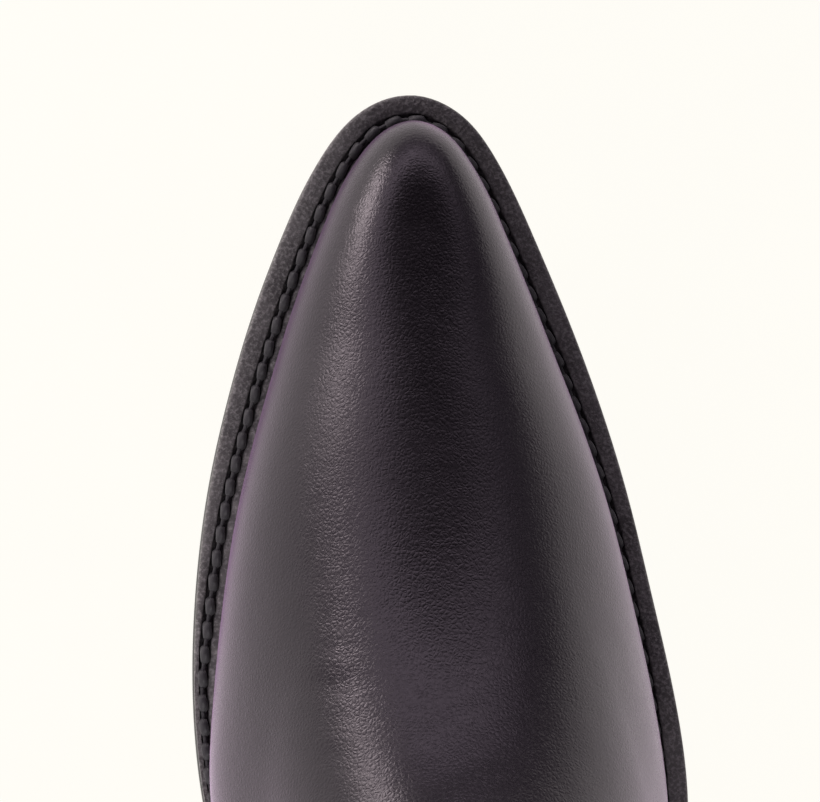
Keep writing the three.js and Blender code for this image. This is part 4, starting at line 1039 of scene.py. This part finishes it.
def make_binding():
    points, out = top_edge()
    ahead = unit(np.roll(points, -1, 0) - np.roll(points, 1, 0))
    up = unit(np.cross(ahead, out))
    wall = (PANEL_OUTER - LINING_LAYER[0]) / 2
    inner, outer = wall + BINDING_CLEARANCE, wall + BINDING_CLEARANCE + BINDING_THICKNESS
    top = BINDING_CLEARANCE + BINDING_THICKNESS
    arc = [(outer * math.sin(a), top - outer * 0.62 + outer * 0.62 * math.cos(a))
           for a in np.linspace(0, math.pi / 2, 8)]
    right = [(inner * 0.75, BINDING_CLEARANCE), (inner, 0), (inner, -BINDING_DEPTH + 0.2),
             (inner + 0.3, -BINDING_DEPTH), (outer - 0.15, -BINDING_DEPTH + 0.05),
             (outer, -BINDING_DEPTH + 0.35), *arc[:0:-1]]
    section = right + [(0, top)] + [(-w, h) for w, h in right[::-1]]
    ring = np.stack([points + out * w + up * h for w, h in section], 1)
    pile = Pile()
    pile.grid(ring, wrap=(True, True))
    for face in (1, -1):
        line = points + out * (outer + 0.02) * face - up * (BINDING_DEPTH - 1.2)
        line, normal = np.concatenate([line, line[:1]]), np.concatenate([out, out[:1]]) * face
        add_stitches(pile, line, normal, pitch=2.9, slot=1)
    pile.piece("top_binding_strip", [STRAP_LEATHER, FINE_THREAD], "upper_leather", "top_binding")


def seam_normal(u, side):
    both = sum(normals(s, u, near_seam(s, u, side, 0.5)) for s in (front, rear))
    return unit(both)


TAIL_TOP = RING_TOP - BINDING_DEPTH - GAP
TAIL_BOTTOM = TAIL_TOP - STRAP_TAIL


def make_piping():
    for name, side in (("outer", 1), ("inner", -1)):
        u = np.linspace(CORNER_U + 1.2, TAIL_BOTTOM - GAP, 220)
        n = seam_normal(u, side)
        rise = PANEL_OUTER + GAP + PIPING_RADIUS
        pile = Pile()
        tube(pile, front(u, side * QUARTER) + n * rise, n, PIPING_RADIUS, 18)
        pile.piece(f"side_piping_{name}_cord", [STRAP_LEATHER], "upper_leather", f"side_piping_{name}")


# ---- pull straps
LEAF = (PANEL_OUTER - LINING_LAYER[0]) / 2 + BINDING_CLEARANCE + BINDING_THICKNESS + PIVOT_CLEARANCE
LEAF += STRAP_THICKNESS / 2
LOOP_HALF = [
    (0, LEAF, 0.2), (1, LEAF + 0.6, LOOP_HEIGHT * 0.12), (2, LOOP_HALF_WIDTH - 0.9, LOOP_HEIGHT * 0.35),
    (3, LOOP_HALF_WIDTH, LOOP_HEIGHT * 0.58), (4, LOOP_HALF_WIDTH - 1.2, LOOP_HEIGHT * 0.8),
    (5, LOOP_HALF_WIDTH * 0.5, LOOP_HEIGHT * 0.95), (6, 0, LOOP_HEIGHT),
]
loop_line = spline(LOOP_HALF + [(12 - i, -w, h) for i, w, h in LOOP_HALF[-2::-1]])


def strap_middle(side, across):
    """Middle surface of one strap, rows from the outside tail over the loop to the inside tail."""
    half = STRAP_WIDTH / 2
    tail_u = np.linspace(TAIL_BOTTOM, TAIL_TOP, 60)
    outside = PANEL_OUTER + GAP + STRAP_THICKNESS / 2 - 0.15
    inside = LINING_LAYER[0] - GAP - STRAP_THICKNESS / 2 + 0.15

    def tail(offset):
        columns = []
        for share in across:
            distance = abs(share) * half
            if distance < 0.3:
                columns.append(front(tail_u, side * QUARTER) + seam_normal(tail_u, side) * offset)
                continue
            surface = front if share > 0 else rear
            angle = near_seam(surface, tail_u, side, distance)
            columns.append(surface(tail_u, angle) + normals(surface, tail_u, angle) * offset)
        return np.stack(columns, 1)

    top = np.array([RING_TOP])
    pivot = (front(top, side * QUARTER) + seam_normal(top, side) * WALL_MIDDLE)[0]
    bows = []
    for surface in (front, rear):
        x = surface(top, near_seam(surface, top, side, half))[0, 0]
        bows.append(abs(x - pivot[0] + side * WALL_MIDDLE))
    at = np.linspace(0.55, 11.45, 80)
    w, h = loop_line(at).T
    straighten = mix(1, 0.3, np.clip(h / LOOP_HEIGHT, 0, 1))
    bow = np.where(across > 0, bows[0], bows[1]) * across**2
    loop = np.stack([
        pivot[0] + side * (w[:, None] - bow * straighten[:, None]),
        pivot[1] + half * across + 0 * w[:, None],
        pivot[2] + h[:, None] + 0 * across,
    ], -1)
    return np.concatenate([tail(outside), loop, tail(inside)[::-1]]), pivot


def make_straps():
    for name, side in (("outer", 1), ("inner", -1)):
        across = np.linspace(-1, 1, 25)
        rows, pivot = strap_middle(side, across)
        # Three passes of smoothing turn the joint over the binding into a soft bend.
        for _ in range(3):
            rows[1:-1] = (rows[:-2] + 2 * rows[1:-1] + rows[2:]) / 4
        ahead = unit(np.gradient(rows, axis=0))
        along = unit(np.gradient(rows, axis=1))
        n = unit(np.cross(along, ahead)) * side
        n = n if np.sum(n[5, 12] * (side, 0, 0)) > 0 else -n
        half = STRAP_THICKNESS / 2
        edge = 0.5 * (1 - np.abs(across)[None, :, None] ** 14)
        thick = half * (0.45 + edge + 0.05 * np.cos(across * 20)[None, :, None])
        seat = rows - n * half
        outer, inner = seat + n * 2 * thick, seat + n * 0.02
        pile = Pile()
        loops = np.concatenate([outer, inner[:, ::-1]], 1)
        pile.grid(loops, wrap=(False, True), flip=side < 0)
        for end in (0, -1):
            pile.grid(np.stack([outer[end], inner[end]], 0), flip=(end == 0) == (side > 0))
        # Long rows near both edges, then short rows across the ends of the tails and of the loop.
        lines = [line for j in (2, 22)
                 for line in ((outer[:, j], n[:, j]), (inner[62:138, j], -n[62:138, j]))]
        lines += [(outer[i, 3:22], n[i, 3:22]) for i in (3, 42, 46, -4, -43, -47)]
        for path, normal in lines:
            add_stitches(pile, path, normal, pitch=2.9, slot=1)
        strap = pile.build(f"pull_strap_{name}_leather", [STRAP_LEATHER, FINE_THREAD])
        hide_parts(f"pull_tail_{name}_outside", f"pull_tail_{name}_inside", f"pull_loop_{name}")
        low, high = pivot + (0, 0, -2.5), pivot + (0, 0, 7)
        tuple(place(low))
        tuple(place(high))
        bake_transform(strap)


# ---- stitching on the upper
def along_edge(surface, edge, below, clearance):
    """A line that follows a panel's edge some u below it, from seam to seam."""
    degrees = np.linspace(-90, 90, 200)
    u = edge(np.abs(degrees)) - below
    angle = np.radians(degrees)
    for j, side in ((0, -1), (-1, 1)):
        angle[j] = near_seam(surface, u[j], side, clearance)
    return u, angle


def sew(pile, surface, u, angle, offset):
    points = layer_points(surface, u, angle, offset)
    add_stitches(pile, points, normals(surface, u, angle))


def decorative_lines(top, foot):
    """Generic shaft stitching: nested flames that mirror about the centre line."""
    s = np.linspace(0, 1, 260)
    lobes = 0.5 + 0.5 * np.cos(s * np.pi * 4 + np.pi)
    fade = np.clip(np.sin(np.pi * s), 0, 1) ** 0.45
    for k in range(FLAMES):
        width = 58 * (0.30 + 0.45 * s + 0.25 * lobes) * (0.42 + k * 0.132)
        yield mix(foot + 14 - k * 5, top(0) - 14 - (FLAMES - 1 - k) * 7, s), width * fade


def make_stitching():
    pile = Pile()
    for below in EDGE_ROWS:
        for surface, edge in ((front, vamp_edge), (rear, counter_edge)):
            sew(pile, surface, *along_edge(surface, edge, below, 4), 0.0)
    for side in (-1, 1):
        for surface in (front, rear):
            u = np.linspace(VAMP_SEAM + 2, TAIL_BOTTOM - 1, 300)
            sew(pile, surface, u, near_seam(surface, u, side, SEAM_ROW), PANEL_OUTER)
    for surface, top, foot in ((front, front_top, 268), (rear, rear_top, 306)):
        for u, width in decorative_lines(top, foot):
            for side in (-1, 1):
                sew(pile, surface, u, side * np.radians(width), PANEL_OUTER)
    pile.piece("upper_stitching", [FINE_THREAD], "thread", weld=False)


# ---- stage, light, camera
CAMERA_DISTANCE = 700.0
CAMERA_LEAN = (7.0, 7.0)  # degrees towards the inner side and towards the heel
AIM = np.array([0.0, -53.9, 15.0])
FRAME_WIDTH = 164.0
BRIGHT_SIDE = (-0.26, 0.966, 0.0)


def make_stage():
    bpy.ops.mesh.primitive_plane_add(size=6, location=(0, 0, -0.0005))
    floor = bpy.context.object
    floor.name = "floor"
    n, where = material("floor_mat")
    tone = n.blend(n.noise(where, 30.0), (1.0, 0.982, 0.925), (0.99, 0.972, 0.915))
    floor.data.materials.append(n.finish(Base_Color=(0.55, 0.54, 0.51), Roughness=0.9))
    shader, output = (n.tree.nodes[k] for k in ("Principled BSDF", "Material Output"))
    glow = n.make("Emission", {"Color": tone, "Strength": 1.055})
    both = n.make("MixShader", {0: 0.06, 1: glow.outputs[0], 2: shader.outputs[0]})
    n.put(output.inputs["Surface"], both.outputs[0])


def area_light(name, position, target, size, power, colour):
    data = bpy.data.lights.new(name, "AREA")
    data.shape = "RECTANGLE"
    data.size, data.size_y = size
    data.energy = power
    data.color = colour
    light = bpy.data.objects.new(name, data)
    light.location = position
    light.rotation_euler = (Vector(target) - Vector(position)).to_track_quat("-Z", "Y").to_euler()
    bpy.context.collection.objects.link(light)
    return light


def make_world():
    """Studio round the boot: dark overhead, a pale wall in front, dimmer ones at the sides."""
    world = bpy.data.worlds.new("studio")
    world.use_nodes = True
    n = Nodes(world.node_tree)
    toward = n.make("TexCoord").outputs["Generated"]
    across, _, up = n.make("SeparateXYZ", {0: toward}).outputs
    low = n.make("MapRange", {"Value": up, "From Min": 0.76, "From Max": 0.50},
                 interpolation_type="SMOOTHSTEP").outputs[0]
    facing = n.vector("DOT_PRODUCT", toward, BRIGHT_SIDE, "Value")
    sides = n.blend(n.remap(across, -0.3, 0.6), (0.36, 0.32, 0.37), (0.13, 0.115, 0.14))
    front = n.blend(n.remap(facing, 0.2, 0.95), sides, (2.8, 2.52, 2.78))
    wall = n.blend(n.remap(up, 0.36, 0.50), sides, front)
    background = world.node_tree.nodes["Background"]
    n.put(background.inputs["Color"], n.blend(low, (0.012, 0.011, 0.013), wall))
    bpy.context.scene.world = world


def make_lights():
    toe = place((0, -30, 40))
    side = area_light("side_card", toe + np.array((-0.285, 0.205, 0.035)), toe, (0.15, 0.10), 0.42,
                      (1.0, 0.93, 0.90))
    side.visible_camera = False
    shaft = toe + np.array((0.0, -0.13, 0.2))
    area_light("rear_key", shaft + np.array((-0.28, -1.2, 0.30)), shaft, (0.6, 0.5), 9,
               (1.0, 0.97, 0.97))


def make_camera():
    lean_x, lean_y = (math.radians(a) for a in CAMERA_LEAN)
    away = unit(np.array([-math.tan(lean_x), -math.tan(lean_y), 1.0]))
    data = bpy.data.cameras.new("camera")
    camera = bpy.data.objects.new("camera", data)
    aim = place(AIM)
    camera.location = aim + away * CAMERA_DISTANCE * MM
    look = Vector(-away)
    right = look.cross(Vector((0, 1, 0))).normalized()
    up = right.cross(look)
    camera.rotation_euler = Matrix((right, up, -look)).transposed().to_euler()
    data.sensor_width = 36
    data.lens = 36 * CAMERA_DISTANCE / FRAME_WIDTH
    data.clip_start, data.clip_end = 0.01, 20
    bpy.context.collection.objects.link(camera)
    bpy.context.scene.camera = camera


def dress_hidden():
    """Carried-over pieces inside the boot keep their solids and get their own finish."""
    finishes = {"toe_box": BOARD_MAT, "vamp_interlining": BOARD_MAT, "heel_counter": BOARD_MAT,
                "insole": BOARD_MAT, "bottom_filler": CORK_MAT, "shank": STEEL_MAT,
                "sock_lining": SOCK_MAT, "top_lift": RUBBER_MAT}
    for node, finish in finishes.items():
        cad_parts[node].data.materials[0] = finish


for make in (make_uppers, make_welt, make_rand, make_outsole, make_heel, make_binding, make_piping,
             make_straps, make_stitching, dress_hidden, make_stage, make_world, make_lights, make_camera):
    make()
bpy.context.scene.view_settings.view_transform = "Standard"
